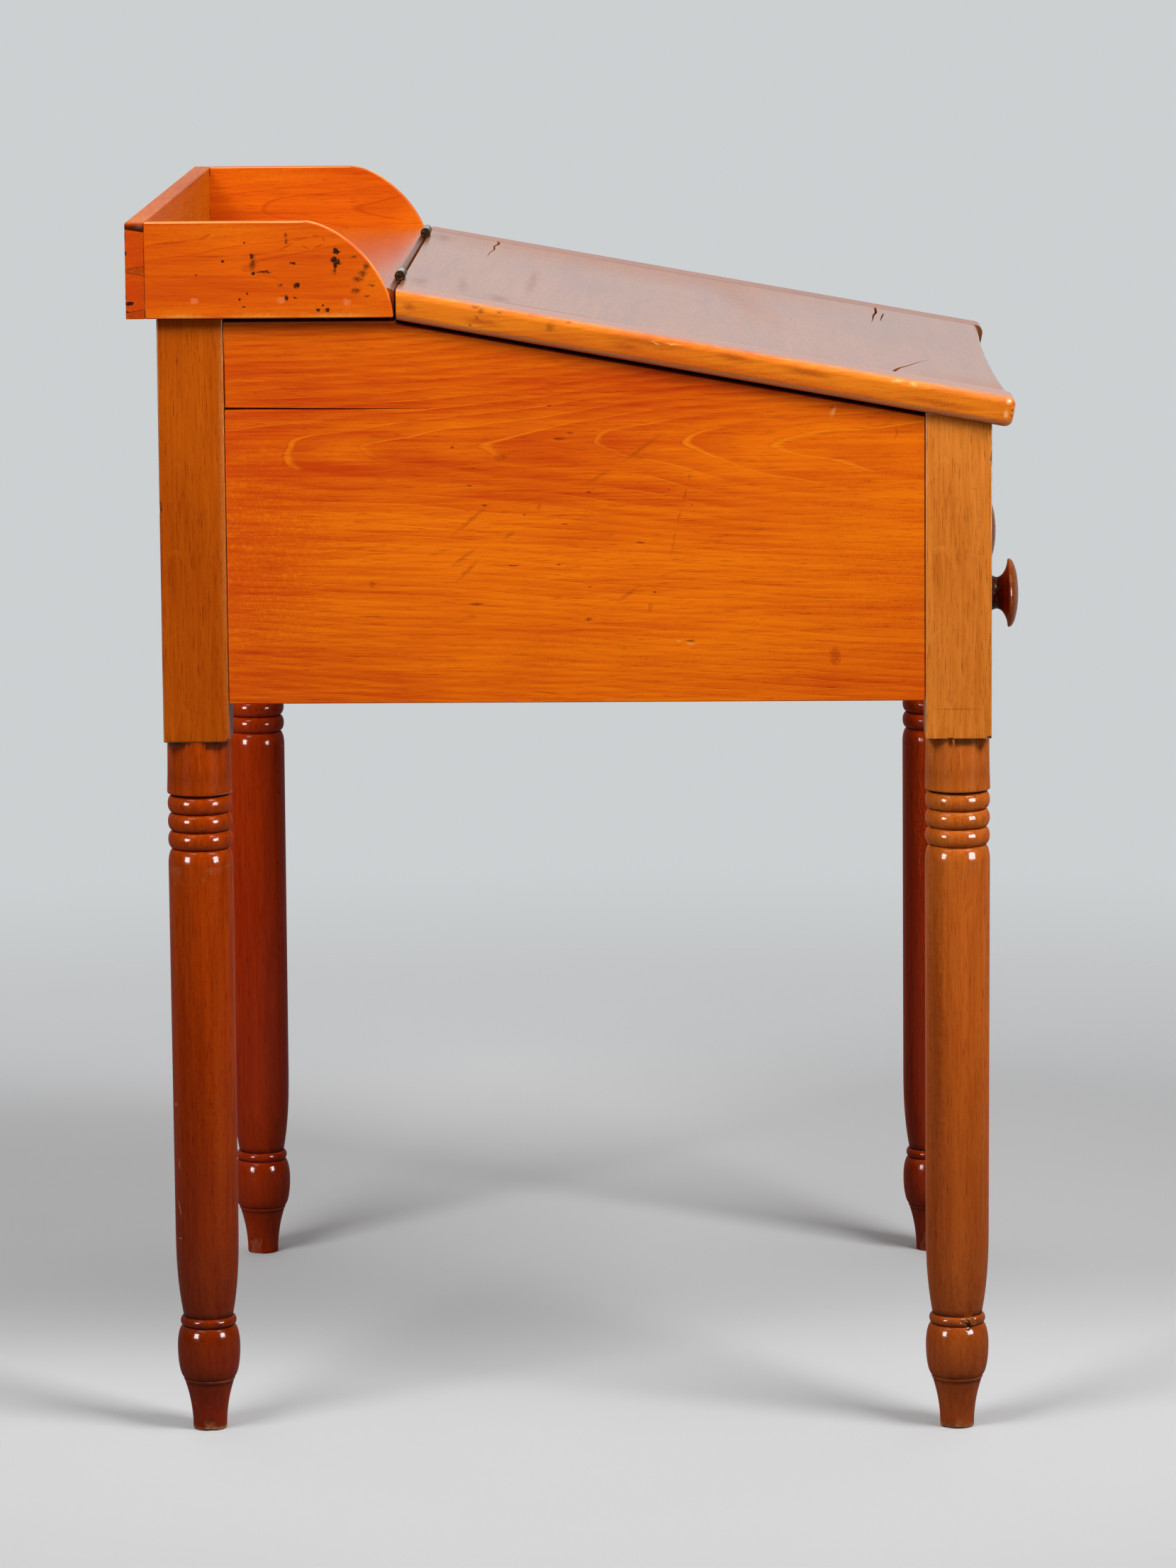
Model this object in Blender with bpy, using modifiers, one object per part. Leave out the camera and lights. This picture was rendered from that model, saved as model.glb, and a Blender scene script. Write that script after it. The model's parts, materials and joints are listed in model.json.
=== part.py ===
"""Schoolmaster's desk: a slant-lid desk with a low gallery and one drawer, on turned legs.

Units are metres. X runs across the desk, the sitter is on the -Y side, and Z is up.
The origin is on the floor, under the middle of the desk's bounding box.
"""

import math

import bmesh
import bpy

# Fits and mesh fineness
FIT = 0.0003                # gap between two pieces that touch
WELD = 0.00001              # merge distance at mesh seams
LEG_SIDES = 20
KNOB_SIDES = 20
SMALL_SIDES = 10
NOSE_STEPS = 2              # facets in a rounded board edge

# Case, measured over the four posts
CASE_WIDTH = 0.668
CASE_DEPTH = 0.629
CASE_BOTTOM_Z = 0.570       # lower edge of the side and back panels
SEAT_Z = 0.8635             # top of the back posts, where the top board lies
FACE_SETBACK = 0.001        # boards stand this far inside the post faces
PANEL_SHRINKAGE = 0.0032    # the wide boards have shrunk below the post tops
SIDE_PANEL_T = 0.019
BACK_PANEL_T = 0.016
FRONT_BOARD_T = 0.019
TONGUE_LENGTH = 0.012       # boards are tongued into the posts
TONGUE_SHOULDER = 0.006

# Legs: square posts above, turned below
POST = 0.0500
SHOULDER_Z = 0.5406         # lower end of the square
COLLAR_TOP_R = 0.0242
COLLAR_BOTTOM_R = 0.0249
COLLAR_BOTTOM_Z = 0.499
BEADS = 3
BEAD_R = 0.0246
BEAD_GROOVE_R = 0.0223
BEAD_PITCH = 0.0139
SHAFT_SHOULDER_R = 0.0248
SHAFT_SHOULDER_H = 0.012
SHAFT_R = 0.0243
SHAFT_TAPER_Z = 0.165       # the shaft starts to draw in here
NECK_R = 0.0190
RING_Z = 0.0858
RING_R = 0.0216
RING_H = 0.0075
BULB_R = 0.0242
BULB_Z = 0.0647
BULB_END_R = 0.0196
FILLET_Z = 0.0407
FOOT_TOP_R = 0.0190
FOOT_R = 0.0130
FILLET_H = 0.0025

# Top board, gallery and lid
HINGE_FROM_BACK = 0.180     # hinge line, from the back faces of the posts
JOINT_GAP = 0.0022          # slit between the top board and the lid
TOP_T = 0.0212
TOP_NOSE = 0.004
SIDE_OVERHANG = 0.008
BACK_OVERHANG = 0.022
GALLERY_T = 0.0143
GALLERY_HEIGHT = 0.0726
GALLERY_SWEEP = 0.067       # length of the curved front end
SWEEP_POWER = 1.2           # 1 is a quarter ellipse; more is flatter
GALLERY_TAILS = 2
GALLERY_TAIL_SHARE = 0.77   # tail width at its root, as a share of the tail spacing
GALLERY_TAIL_MARGIN = 0.0037
SWEEP_STEPS = 10
TAIL_SLOPE = 1 / 6
LID_SLOPE = math.radians(10.3)
LID_T = 0.0228
LID_OVERHANG = 0.019        # past the front faces of the posts
LID_NOSE = 0.006
CLEAT_WIDTH = 0.050
CLEAT_TONGUE = 0.014
CLEAT_TONGUE_STOP = 0.024   # the tongue stops short of both cleat ends
BOARD_RECESS = 0.004        # the lid board has shrunk back between the cleat ends
WORN_SAG = 0.003            # its front edge is worn hollow along the middle
WORN_STEPS = 8

# Hinges
HINGE_INSET = 0.112         # middle of a hinge, from the end of the lid
HINGE_LENGTH = 0.040
KNUCKLES = 5
BARREL_R = 0.004
BARREL_CLEARANCE = 0.0005
BARREL_RISE = 0.003         # hinge axis above the faces of the top board and the lid
PIN_R = 0.0016
LEAF_T = 0.0018
LEAF_BITE = 0.0148          # depth of the leaves below the board faces
HINGE_SCREWS = 3
SCREW_SPREAD = 0.028
SCREW_STAGGER = 0.005
SCREW_HEAD_R = 0.0027
SCREW_HEAD_H = 0.0014
SCREW_SHANK_R = 0.0013
SCREW_LENGTH = 0.013

# Drawer, rail, and the strips that carry the drawer and the well floor
RAIL_H = 0.020
RAIL_TENON_LENGTH = 0.014
RAIL_TENON_SHOULDER = 0.004
RAIL_TENON_CHEEK = 0.010
DRAWER_OPENING_H = 0.094
RUNNER_LEDGE = 0.016        # the runners reach this far inside the posts
RUNNER_T = 0.018
GUIDE_H = 0.025
KICKER_T = 0.018
LEDGER_W = 0.018
WELL_FLOOR_T = 0.012
STOP_INSET = 0.134          # middle of a stop, from the post
STOP_WIDTH = 0.040
STOP_DEPTH = 0.025
STOP_H = 0.006
DRAWER_LENGTH = 0.540
DRAWER_SIDE_GAP = 0.001
DRAWER_TOP_GAP = 0.0015
DRAWER_BOTTOM_GAP = 0.001
DRAWER_FRONT_T = 0.019
DRAWER_LAP = 0.013          # depth of the lapped dovetails in the drawer front
DRAWER_SIDE_T = 0.011
DRAWER_SIDE_DROP = 0.004
DRAWER_BACK_T = 0.011
DRAWER_BACK_DROP = 0.009
DRAWER_BOTTOM_T = 0.007
DRAWER_BOTTOM_RISE = 0.009
DRAWER_GROOVE = 0.005
DRAWER_TAILS = 3
DRAWER_TAIL_SHARE = 0.62
DRAWER_TAIL_MARGIN = 0.004

# Knobs
KNOB_INSET = 0.073          # middle of a knob, from the post
KNOB_PROJECTION = 0.0264
KNOB_R = 0.0265
KNOB_RIM_T = 0.0018
KNOB_DOME_H = 0.0072
KNOB_NECK_R = 0.0122
KNOB_BASE_R = 0.0155
KNOB_THROAT_R = 0.0158
KNOB_TENON_R = 0.0075

# Places that follow from the sizes above
HALF_CASE = CASE_WIDTH / 2
POST_INNER = HALF_CASE - POST
HALF_TOP = HALF_CASE + SIDE_OVERHANG
HINGE_X = HALF_TOP - HINGE_INSET
STOP_X = POST_INNER - STOP_INSET
KNOB_X = POST_INNER - KNOB_INSET
FRONT_REACH = max(KNOB_PROJECTION - FACE_SETBACK, LID_OVERHANG)
FRONT_Y = FRONT_REACH - (CASE_DEPTH + BACK_OVERHANG + FRONT_REACH) / 2
BACK_Y = FRONT_Y + CASE_DEPTH
FACE_Y = FRONT_Y + FACE_SETBACK
FRONT_POST_BACK = FRONT_Y + POST
BACK_POST_FRONT = BACK_Y - POST
PANEL_INNER = HALF_CASE - FACE_SETBACK - SIDE_PANEL_T
BACK_PANEL_INNER = BACK_Y - FACE_SETBACK - BACK_PANEL_T
FRONT_BOARD_INNER = FACE_Y + FRONT_BOARD_T
HINGE_Y = BACK_Y - HINGE_FROM_BACK
GALLERY_BACK_Y = BACK_Y + BACK_OVERHANG
GALLERY_INNER = HALF_TOP - GALLERY_T
GALLERY_TIP_Y = HINGE_Y + JOINT_GAP / 2
TOP_BOARD_Z = SEAT_Z + FIT
TOP_FACE_Z = TOP_BOARD_Z + TOP_T
AXIS_Z = TOP_FACE_Z + BARREL_RISE
RAIL_TOP = CASE_BOTTOM_Z + RAIL_H
OPENING_TOP = RAIL_TOP + DRAWER_OPENING_H
KICKER_TOP = OPENING_TOP + KICKER_T
DRAWER_HALF = POST_INNER - DRAWER_SIDE_GAP
DRAWER_FRONT_Z = (RAIL_TOP + DRAWER_BOTTOM_GAP, OPENING_TOP - DRAWER_TOP_GAP)
DRAWER_SIDE_Z = (RAIL_TOP + FIT, DRAWER_FRONT_Z[1] - DRAWER_SIDE_DROP)
DRAWER_FRONT_INNER = FACE_Y + DRAWER_FRONT_T
DRAWER_REAR = FACE_Y + DRAWER_LENGTH
DRAWER_INNER = DRAWER_HALF - DRAWER_SIDE_T
DRAWER_FLOOR_Z = (RAIL_TOP + DRAWER_BOTTOM_RISE, RAIL_TOP + DRAWER_BOTTOM_RISE + DRAWER_BOTTOM_T)
DRAWER_BACK_Z = (DRAWER_FLOOR_Z[1] + FIT, DRAWER_SIDE_Z[1] - DRAWER_BACK_DROP)
KNOB_Z = sum(DRAWER_FRONT_Z) / 2

# The lid is drawn flat, along its own slope, with its hinge axis at the origin
LID_TOP = -BARREL_RISE * math.cos(LID_SLOPE)
LID_BOTTOM = LID_TOP - LID_T
LID_SEAT_Z = AXIS_Z + (LID_BOTTOM - FIT) / math.cos(LID_SLOPE)
LID_FRONT = -(HINGE_Y - FRONT_Y + LID_OVERHANG) / math.cos(LID_SLOPE)
LID_BOARD_HALF = HALF_TOP - CLEAT_WIDTH - FIT
LID_BOARD_FRONT = LID_FRONT + BOARD_RECESS
LEAF_TOP = -(BARREL_R + FIT)
LEAF_LOW = -BARREL_RISE - LEAF_BITE

SIDES = (("left", -1), ("right", 1))
CUT_PAST = 0.010            # cutters run this far past the faces that they cut

for item in list(bpy.data.objects):
    bpy.data.objects.remove(item)

PARTS = bpy.data.collections.new("schoolmasters_desk")
CUTTERS = bpy.data.collections.new("cutters")
bpy.context.scene.collection.children.link(PARTS)
bpy.context.scene.collection.children.link(CUTTERS)


def finish(name, colour, roughness, metallic=0.0):
    """A Principled material with one colour."""
    material = bpy.data.materials.new(name)
    material.use_nodes = True
    shader = material.node_tree.nodes["Principled BSDF"]
    shader.inputs["Base Color"].default_value = (*colour, 1.0)
    shader.inputs["Roughness"].default_value = roughness
    shader.inputs["Metallic"].default_value = metallic
    material.diffuse_color = (*colour, 1.0)
    return material


SHELLAC_ORANGE = finish("shellac_on_boards", (0.56, 0.17, 0.022), 0.32)
SHELLAC_BROWN = finish("shellac_on_turned_legs", (0.36, 0.11, 0.025), 0.30)
BARE_PINE = finish("bare_pine_inside", (0.50, 0.29, 0.12), 0.70)
KNOB_BROWN = finish("dark_stained_knobs", (0.17, 0.055, 0.022), 0.30)
HINGE_IRON = finish("worn_iron_hinges", (0.33, 0.31, 0.29), 0.45, 1.0)
SCREW_IRON = finish("iron_screws", (0.25, 0.22, 0.19), 0.50, 1.0)


def empty(name, location, parent=None, tilt=0.0):
    """A guide that pieces are parented to."""
    guide = bpy.data.objects.new(name, None)
    PARTS.objects.link(guide)
    guide.parent = parent
    guide.location = location
    guide.rotation_euler.x = tilt
    return guide


CASE = empty("case_frame", (0, 0, 0))
LID_PIVOT = empty("lid_pivot", (0, HINGE_Y, AXIS_Z))
LID_PLANE = empty("lid_plane", (0, 0, 0), LID_PIVOT, LID_SLOPE)
DRAWER = empty("drawer_slide", (0, 0, 0))


def as_piece(name, mesh, material, parent):
    """Link a mesh as a named sub-part."""
    piece = bpy.data.objects.new(name, mesh)
    PARTS.objects.link(piece)
    piece.data.materials.append(material)
    piece.parent = parent
    return piece


def as_cutter(mesh, parent):
    """Link a mesh as a hidden operand for a Boolean."""
    cutter = bpy.data.objects.new(mesh.name, mesh)
    CUTTERS.objects.link(cutter)
    cutter.parent = parent
    cutter.hide_render = True
    cutter.display_type = "WIRE"
    return cutter


def box_mesh(name, corners):
    """A mesh of closed boxes, each between a low and a high corner."""
    work = bmesh.new()
    for low, high in corners:
        made = bmesh.ops.create_cube(work, size=1.0)["verts"]
        size = [b - a for a, b in zip(low, high)]
        centre = [(a + b) / 2 for a, b in zip(low, high)]
        bmesh.ops.scale(work, vec=size, verts=made)
        bmesh.ops.translate(work, vec=centre, verts=made)
    mesh = bpy.data.meshes.new(name)
    work.to_mesh(mesh)
    work.free()
    return mesh


def outline_mesh(name, points, depth):
    """A flat outline in local XY, extruded by half the depth to both sides."""
    curve = bpy.data.curves.new(name, "CURVE")
    curve.dimensions = "2D"
    curve.fill_mode = "BOTH"
    curve.extrude = depth / 2
    spline = curve.splines.new("POLY")
    spline.points.add(len(points) - 1)
    for point, (u, v) in zip(spline.points, points):
        point.co = (u, v, 0, 1)
    spline.use_cyclic_u = True
    drawn = bpy.data.objects.new(name, curve)
    CUTTERS.objects.link(drawn)
    graph = bpy.context.evaluated_depsgraph_get()
    mesh = bpy.data.meshes.new_from_object(drawn.evaluated_get(graph))
    bpy.data.objects.remove(drawn)
    work = bmesh.new()
    work.from_mesh(mesh)
    bmesh.ops.remove_doubles(work, verts=work.verts, dist=WELD)
    bmesh.ops.dissolve_limit(work, angle_limit=0.001, verts=work.verts, edges=work.edges)
    work.to_mesh(mesh)
    work.free()
    mesh.name = name
    return mesh


def across(thing, x):
    """Stand a YZ outline up, with its middle at x."""
    thing.rotation_euler = (math.pi / 2, 0, math.pi / 2)
    thing.location.x = x
    return thing


def turned(thing, sides):
    """Spin a profile, drawn top to bottom at +X, round local Z."""
    screw = thing.modifiers.new("turning", "SCREW")
    screw.axis = "Z"
    screw.steps = sides
    screw.render_steps = sides
    screw.use_merge_vertices = True
    screw.merge_threshold = WELD
    return thing


def profile_mesh(name, points):
    """An open chain of edges through (radius, height) points."""
    mesh = bpy.data.meshes.new(name)
    chain = [(k, k + 1) for k in range(len(points) - 1)]
    mesh.from_pydata([(r, 0, z) for r, z in points], chain, [])
    return mesh


def rods_mesh(name, radius, spans, sides=SMALL_SIDES):
    """Closed cylinders along X, each over a span of x."""
    work = bmesh.new()
    for start, end in spans:
        made = bmesh.ops.create_cone(work, cap_ends=True, segments=sides, radius1=radius,
                                     radius2=radius, depth=end - start)["verts"]
        for vert in made:
            x, y, z = vert.co
            vert.co = (z + (start + end) / 2, y, -x)
    mesh = bpy.data.meshes.new(name)
    work.to_mesh(mesh)
    work.free()
    return mesh


def boolean(piece, tool, operation):
    """Cut a piece with a tool, or fuse the tool to it."""
    step = piece.modifiers.new(operation.lower(), "BOOLEAN")
    step.operation = operation
    step.object = tool
    return piece


def round_edges(piece, chosen, radius):
    """Round the edges whose two ends both pass the test."""
    work = bmesh.new()
    work.from_mesh(piece.data)
    weight = work.edges.layers.float.new("bevel_weight_edge")
    for edge in work.edges:
        edge[weight] = float(all(chosen(vert.co) for vert in edge.verts))
    work.to_mesh(piece.data)
    work.free()
    bevel = piece.modifiers.new("rounded_edges", "BEVEL")
    bevel.limit_method = "WEIGHT"
    bevel.width = radius
    bevel.segments = NOSE_STEPS
    return piece


def board(name, low, high, material, parent):
    """A plain squared board between two corners."""
    return as_piece(name, box_mesh(name, [(low, high)]), material, parent)


def mirrored(side, low, high):
    """Corners of a box on one side of the desk, given as on the right."""
    xs = sorted((side * low[0], side * high[0]))
    return (xs[0], low[1], low[2]), (xs[1], high[1], high[2])


def seat_z(y):
    """Height of the post tops and of the board edges under the top board and the lid."""
    if y >= HINGE_Y:
        return SEAT_Z
    return LID_SEAT_Z - (HINGE_Y - y) * math.tan(LID_SLOPE)


def half_round(z_top, z_bottom, r_root, r_crest, steps):
    """Points down a bead, without its two roots."""
    middle = (z_top + z_bottom) / 2
    half = (z_top - z_bottom) / 2
    angles = [math.pi * k / steps for k in range(1, steps)]
    return [(r_root + (r_crest - r_root) * math.sin(a), middle + half * math.cos(a)) for a in angles]


def leg_profile():
    """The turned part of a leg, from inside the square down to the floor."""
    inside = SHOULDER_Z + COLLAR_TOP_R / 2
    points = [(0, inside), (COLLAR_TOP_R, inside), (COLLAR_TOP_R, SHOULDER_Z)]
    points.append((COLLAR_BOTTOM_R, COLLAR_BOTTOM_Z))
    z = COLLAR_BOTTOM_Z - FILLET_H / 2
    for _ in range(BEADS):
        points.append((BEAD_GROOVE_R, z))
        points += half_round(z, z - BEAD_PITCH, BEAD_GROOVE_R, BEAD_R, 4)
        z -= BEAD_PITCH
    points.append((BEAD_GROOVE_R, z))
    for k in (1, 2):
        turn = math.pi / 2 * k / 2
        rise = (SHAFT_SHOULDER_R - BEAD_GROOVE_R) * math.sin(turn)
        points.append((BEAD_GROOVE_R + rise, z - SHAFT_SHOULDER_H * (1 - math.cos(turn))))
    points.append((SHAFT_R, SHAFT_TAPER_Z))
    ring_top = RING_Z + RING_H / 2
    for k in range(1, 6):
        share = k / 5
        drawn_in = (SHAFT_R - NECK_R) * share ** 2.75
        points.append((SHAFT_R - drawn_in, SHAFT_TAPER_Z - (SHAFT_TAPER_Z - ring_top) * share))
    ring_low = RING_Z - RING_H / 2
    points += half_round(ring_top, ring_low, NECK_R, RING_R, 4)
    points.append((BULB_END_R, ring_low))
    for k in (1, 2, 3):
        turn = math.pi / 2 * k / 3
        points.append((BULB_END_R + (BULB_R - BULB_END_R) * math.sin(turn),
                       ring_low - (ring_low - BULB_Z) * (1 - math.cos(turn))))
    for k in (1, 2, 3, 4):
        turn = math.pi / 2 * k / 4
        points.append((BULB_END_R + (BULB_R - BULB_END_R) * math.cos(turn),
                       BULB_Z - (BULB_Z - FILLET_Z) * math.sin(turn)))
    foot_top = FILLET_Z - FILLET_H
    points.append((BULB_END_R, foot_top))
    for k in (1.0, 0.8, 0.5, 0.0):
        points.append((FOOT_R + (FOOT_TOP_R - FOOT_R) * k ** 2.1, foot_top * k - FILLET_H * 0.1 * k))
    points.append((0, 0))
    return points


def make_legs():
    """Four posts, with the grooves and mortises for the boards that they hold."""
    turning = profile_mesh("leg_turning", leg_profile())
    panel_x = HALF_CASE - FACE_SETBACK - SIDE_PANEL_T / 2
    back_y = BACK_Y - FACE_SETBACK - BACK_PANEL_T / 2
    front_y = FACE_Y + FRONT_BOARD_T / 2
    groove_top = SEAT_Z + CUT_PAST
    groove_low = CASE_BOTTOM_Z + TONGUE_SHOULDER - FIT
    deep = TONGUE_LENGTH + FIT
    side_reach = SIDE_PANEL_T / 4 + FIT
    back_reach = BACK_PANEL_T / 4 + FIT
    front_reach = FRONT_BOARD_T / 4 + FIT
    for row, low_y in (("front", FRONT_Y), ("back", BACK_POST_FRONT)):
        high_y = low_y + POST
        post = [(low_y, SHOULDER_Z), (high_y, SHOULDER_Z), (high_y, seat_z(high_y)), (low_y, seat_z(low_y))]
        for name, side in SIDES:
            mesh = outline_mesh("leg_post", post, POST)
            leg = as_piece(f"leg_{row}_{name}", mesh, SHELLAC_BROWN, CASE)
            across(leg, side * (HALF_CASE - POST / 2))
            lower = turned(as_cutter(turning, CASE), LEG_SIDES)
            lower.location = (side * (HALF_CASE - POST / 2), low_y + POST / 2, 0)
            boolean(leg, lower, "UNION")
            inner_y = (high_y - deep, high_y + CUT_PAST) if row == "front" else (low_y - CUT_PAST, low_y + deep)
            cuts = [((panel_x - side_reach, inner_y[0], groove_low),
                     (panel_x + side_reach, inner_y[1], groove_top))]
            if row == "back":
                cuts.append(((POST_INNER - CUT_PAST, back_y - back_reach, groove_low),
                             (POST_INNER + deep, back_y + back_reach, groove_top)))
            else:
                board_low = OPENING_TOP + TONGUE_SHOULDER - FIT
                cuts.append(((POST_INNER - CUT_PAST, front_y - front_reach, board_low),
                             (POST_INNER + deep, front_y + front_reach, groove_top)))
                cuts.append(((POST_INNER - CUT_PAST, FACE_Y + RAIL_TENON_CHEEK - FIT,
                              CASE_BOTTOM_Z + RAIL_TENON_SHOULDER - FIT),
                             (POST_INNER + RAIL_TENON_LENGTH + FIT, FRONT_POST_BACK - RAIL_TENON_CHEEK + FIT,
                              RAIL_TOP - RAIL_TENON_SHOULDER + FIT)))
            joints = box_mesh(f"{leg.name}_joints", [mirrored(side, *cut) for cut in cuts])
            boolean(leg, as_cutter(joints, CASE), "DIFFERENCE")


def make_side_panels():
    """One wide board each side, tongued into the posts, its top edge following the lid."""
    def edge(front, back, low, drop):
        level = [(back, SEAT_Z - drop), (HINGE_Y, SEAT_Z - drop)]
        sloped = [(HINGE_Y, LID_SEAT_Z - drop), (front, seat_z(front) - drop)]
        return [(front, low), (back, low), *level, *sloped]

    front, back = FRONT_POST_BACK + FIT, BACK_POST_FRONT - FIT
    outline = edge(front, back, CASE_BOTTOM_Z, PANEL_SHRINKAGE)
    tongue = edge(front - TONGUE_LENGTH, back + TONGUE_LENGTH, CASE_BOTTOM_Z + TONGUE_SHOULDER,
                  PANEL_SHRINKAGE + TONGUE_SHOULDER)
    for name, side in SIDES:
        x = side * (HALF_CASE - FACE_SETBACK - SIDE_PANEL_T / 2)
        mesh = outline_mesh("side_panel", outline, SIDE_PANEL_T)
        panel = across(as_piece(f"side_panel_{name}", mesh, SHELLAC_ORANGE, CASE), x)
        tenon = as_cutter(outline_mesh("panel_tongue", tongue, SIDE_PANEL_T / 2), CASE)
        boolean(panel, across(tenon, x), "UNION")


def make_cross_boards():
    """The back panel and the fixed front board, tongued into the posts across the desk."""
    reach = POST_INNER - FIT
    drop = PANEL_SHRINKAGE
    outer = BACK_Y - FACE_SETBACK
    back = board("back_panel", (-reach, BACK_PANEL_INNER, CASE_BOTTOM_Z), (reach, outer, SEAT_Z - drop),
                 SHELLAC_ORANGE, CASE)
    middle = (BACK_PANEL_INNER + outer) / 2
    low = (-reach - TONGUE_LENGTH, middle - BACK_PANEL_T / 4, CASE_BOTTOM_Z + TONGUE_SHOULDER)
    high = (reach + TONGUE_LENGTH, middle + BACK_PANEL_T / 4, SEAT_Z - drop - TONGUE_SHOULDER)
    boolean(back, as_cutter(box_mesh("back_tongue", [(low, high)]), CASE), "UNION")

    section = [(FACE_Y, OPENING_TOP), (FRONT_BOARD_INNER, OPENING_TOP),
               (FRONT_BOARD_INNER, seat_z(FRONT_BOARD_INNER)), (FACE_Y, seat_z(FACE_Y))]
    front = as_piece("front_board", outline_mesh("front_board", section, 2 * reach), SHELLAC_ORANGE, CASE)
    across(front, 0)
    middle = (FACE_Y + FRONT_BOARD_INNER) / 2
    low = (-reach - TONGUE_LENGTH, middle - FRONT_BOARD_T / 4, OPENING_TOP + TONGUE_SHOULDER)
    high = (reach + TONGUE_LENGTH, middle + FRONT_BOARD_T / 4, seat_z(FACE_Y) - TONGUE_SHOULDER)
    boolean(front, as_cutter(box_mesh("front_tongue", [(low, high)]), CASE), "UNION")


def make_drawer_rail():
    """The rail under the drawer, tenoned into the front posts, with two stops on it."""
    reach = POST_INNER - FIT
    rail = board("drawer_rail", (-reach, FACE_Y, CASE_BOTTOM_Z), (reach, FRONT_POST_BACK, RAIL_TOP),
                 SHELLAC_ORANGE, CASE)
    low = (-reach - RAIL_TENON_LENGTH, FACE_Y + RAIL_TENON_CHEEK, CASE_BOTTOM_Z + RAIL_TENON_SHOULDER)
    high = (reach + RAIL_TENON_LENGTH, FRONT_POST_BACK - RAIL_TENON_CHEEK, RAIL_TOP - RAIL_TENON_SHOULDER)
    boolean(rail, as_cutter(box_mesh("rail_tenons", [(low, high)]), CASE), "UNION")
    for name, side in SIDES:
        low = (STOP_X - STOP_WIDTH / 2, DRAWER_FRONT_INNER + FIT, RAIL_TOP + FIT)
        high = (STOP_X + STOP_WIDTH / 2, DRAWER_FRONT_INNER + FIT + STOP_DEPTH, RAIL_TOP + STOP_H)
        board(f"drawer_stop_{name}", *mirrored(side, low, high), BARE_PINE, CASE)


def make_inner_strips():
    """Runners, guides and kickers along the sides, and ledgers front and back."""
    front, back = FRONT_POST_BACK + FIT, BACK_POST_FRONT - FIT
    outer, ledge = PANEL_INNER - FIT, POST_INNER - RUNNER_LEDGE
    strips = (
        ("drawer_runner", ledge, RAIL_TOP - RUNNER_T, RAIL_TOP),
        ("drawer_guide", POST_INNER, RAIL_TOP + FIT, RAIL_TOP + GUIDE_H),
        ("drawer_kicker", ledge, OPENING_TOP, KICKER_TOP),
    )
    for strip, inner, low_z, high_z in strips:
        for name, side in SIDES:
            corners = mirrored(side, (inner, front, low_z), (outer, back, high_z))
            board(f"{strip}_{name}", *corners, BARE_PINE, CASE)
    reach = POST_INNER - FIT
    near, far = FRONT_BOARD_INNER + FIT, BACK_PANEL_INNER - FIT
    for name, low_y in (("front", near), ("back", far - LEDGER_W)):
        low, high = (-reach, low_y, OPENING_TOP), (reach, low_y + LEDGER_W, KICKER_TOP)
        board(f"well_ledger_{name}", low, high, BARE_PINE, CASE)


def make_well_floor():
    """The floor of the well under the lid, notched round the four posts."""
    wide, narrow = PANEL_INNER - FIT, POST_INNER - FIT
    ends = (FRONT_BOARD_INNER + FIT, FRONT_POST_BACK + FIT, BACK_POST_FRONT - FIT, BACK_PANEL_INNER - FIT)
    right = [(narrow, ends[0]), (narrow, ends[1]), (wide, ends[1]),
             (wide, ends[2]), (narrow, ends[2]), (narrow, ends[3])]
    outline = right + [(-x, y) for x, y in reversed(right)]
    mesh = outline_mesh("well_floor", outline, WELL_FLOOR_T)
    floor = as_piece("well_floor", mesh, BARE_PINE, CASE)
    floor.location.z = KICKER_TOP + FIT + WELL_FLOOR_T / 2


def tail_row(low, high, count, share, length):
    """Centre, root and tip half-widths of evenly spaced dovetails between two heights."""
    pitch = (high - low) / count
    root = pitch * share / 2
    return [(low + pitch * (k + 0.5), root, root + length * TAIL_SLOPE) for k in range(count)]


def tail_edge(row, root_y, tip_y):
    """Outline points of a row of tails, in the order of the row."""
    step = 1 if row[-1][0] > row[0][0] else -1
    points = []
    for centre, root, tip in row:
        points += [(root_y, centre - step * root), (tip_y, centre - step * tip)]
        points += [(tip_y, centre + step * tip), (root_y, centre + step * root)]
    return points


def tail_sockets(name, row, root_y, tip_y, x_span, parent, past_tip):
    """Cutters for the sockets that take a row of tails, with a fit all round."""
    out = 1 if tip_y > root_y else -1
    length = abs(tip_y - root_y)
    start, end = root_y - out * CUT_PAST, tip_y + out * past_tip
    cutters = []
    for k, (centre, root, tip) in enumerate(row):
        grow = (tip - root) / length
        near, far = root - CUT_PAST * grow + FIT, tip + past_tip * grow + FIT
        points = [(start, centre - near), (end, centre - far), (end, centre + far), (start, centre + near)]
        mesh = outline_mesh(f"{name}_{k + 1}", points if out > 0 else points[::-1], x_span[1] - x_span[0])
        cutters.append(across(as_cutter(mesh, parent), sum(x_span) / 2))
    return cutters


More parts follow.
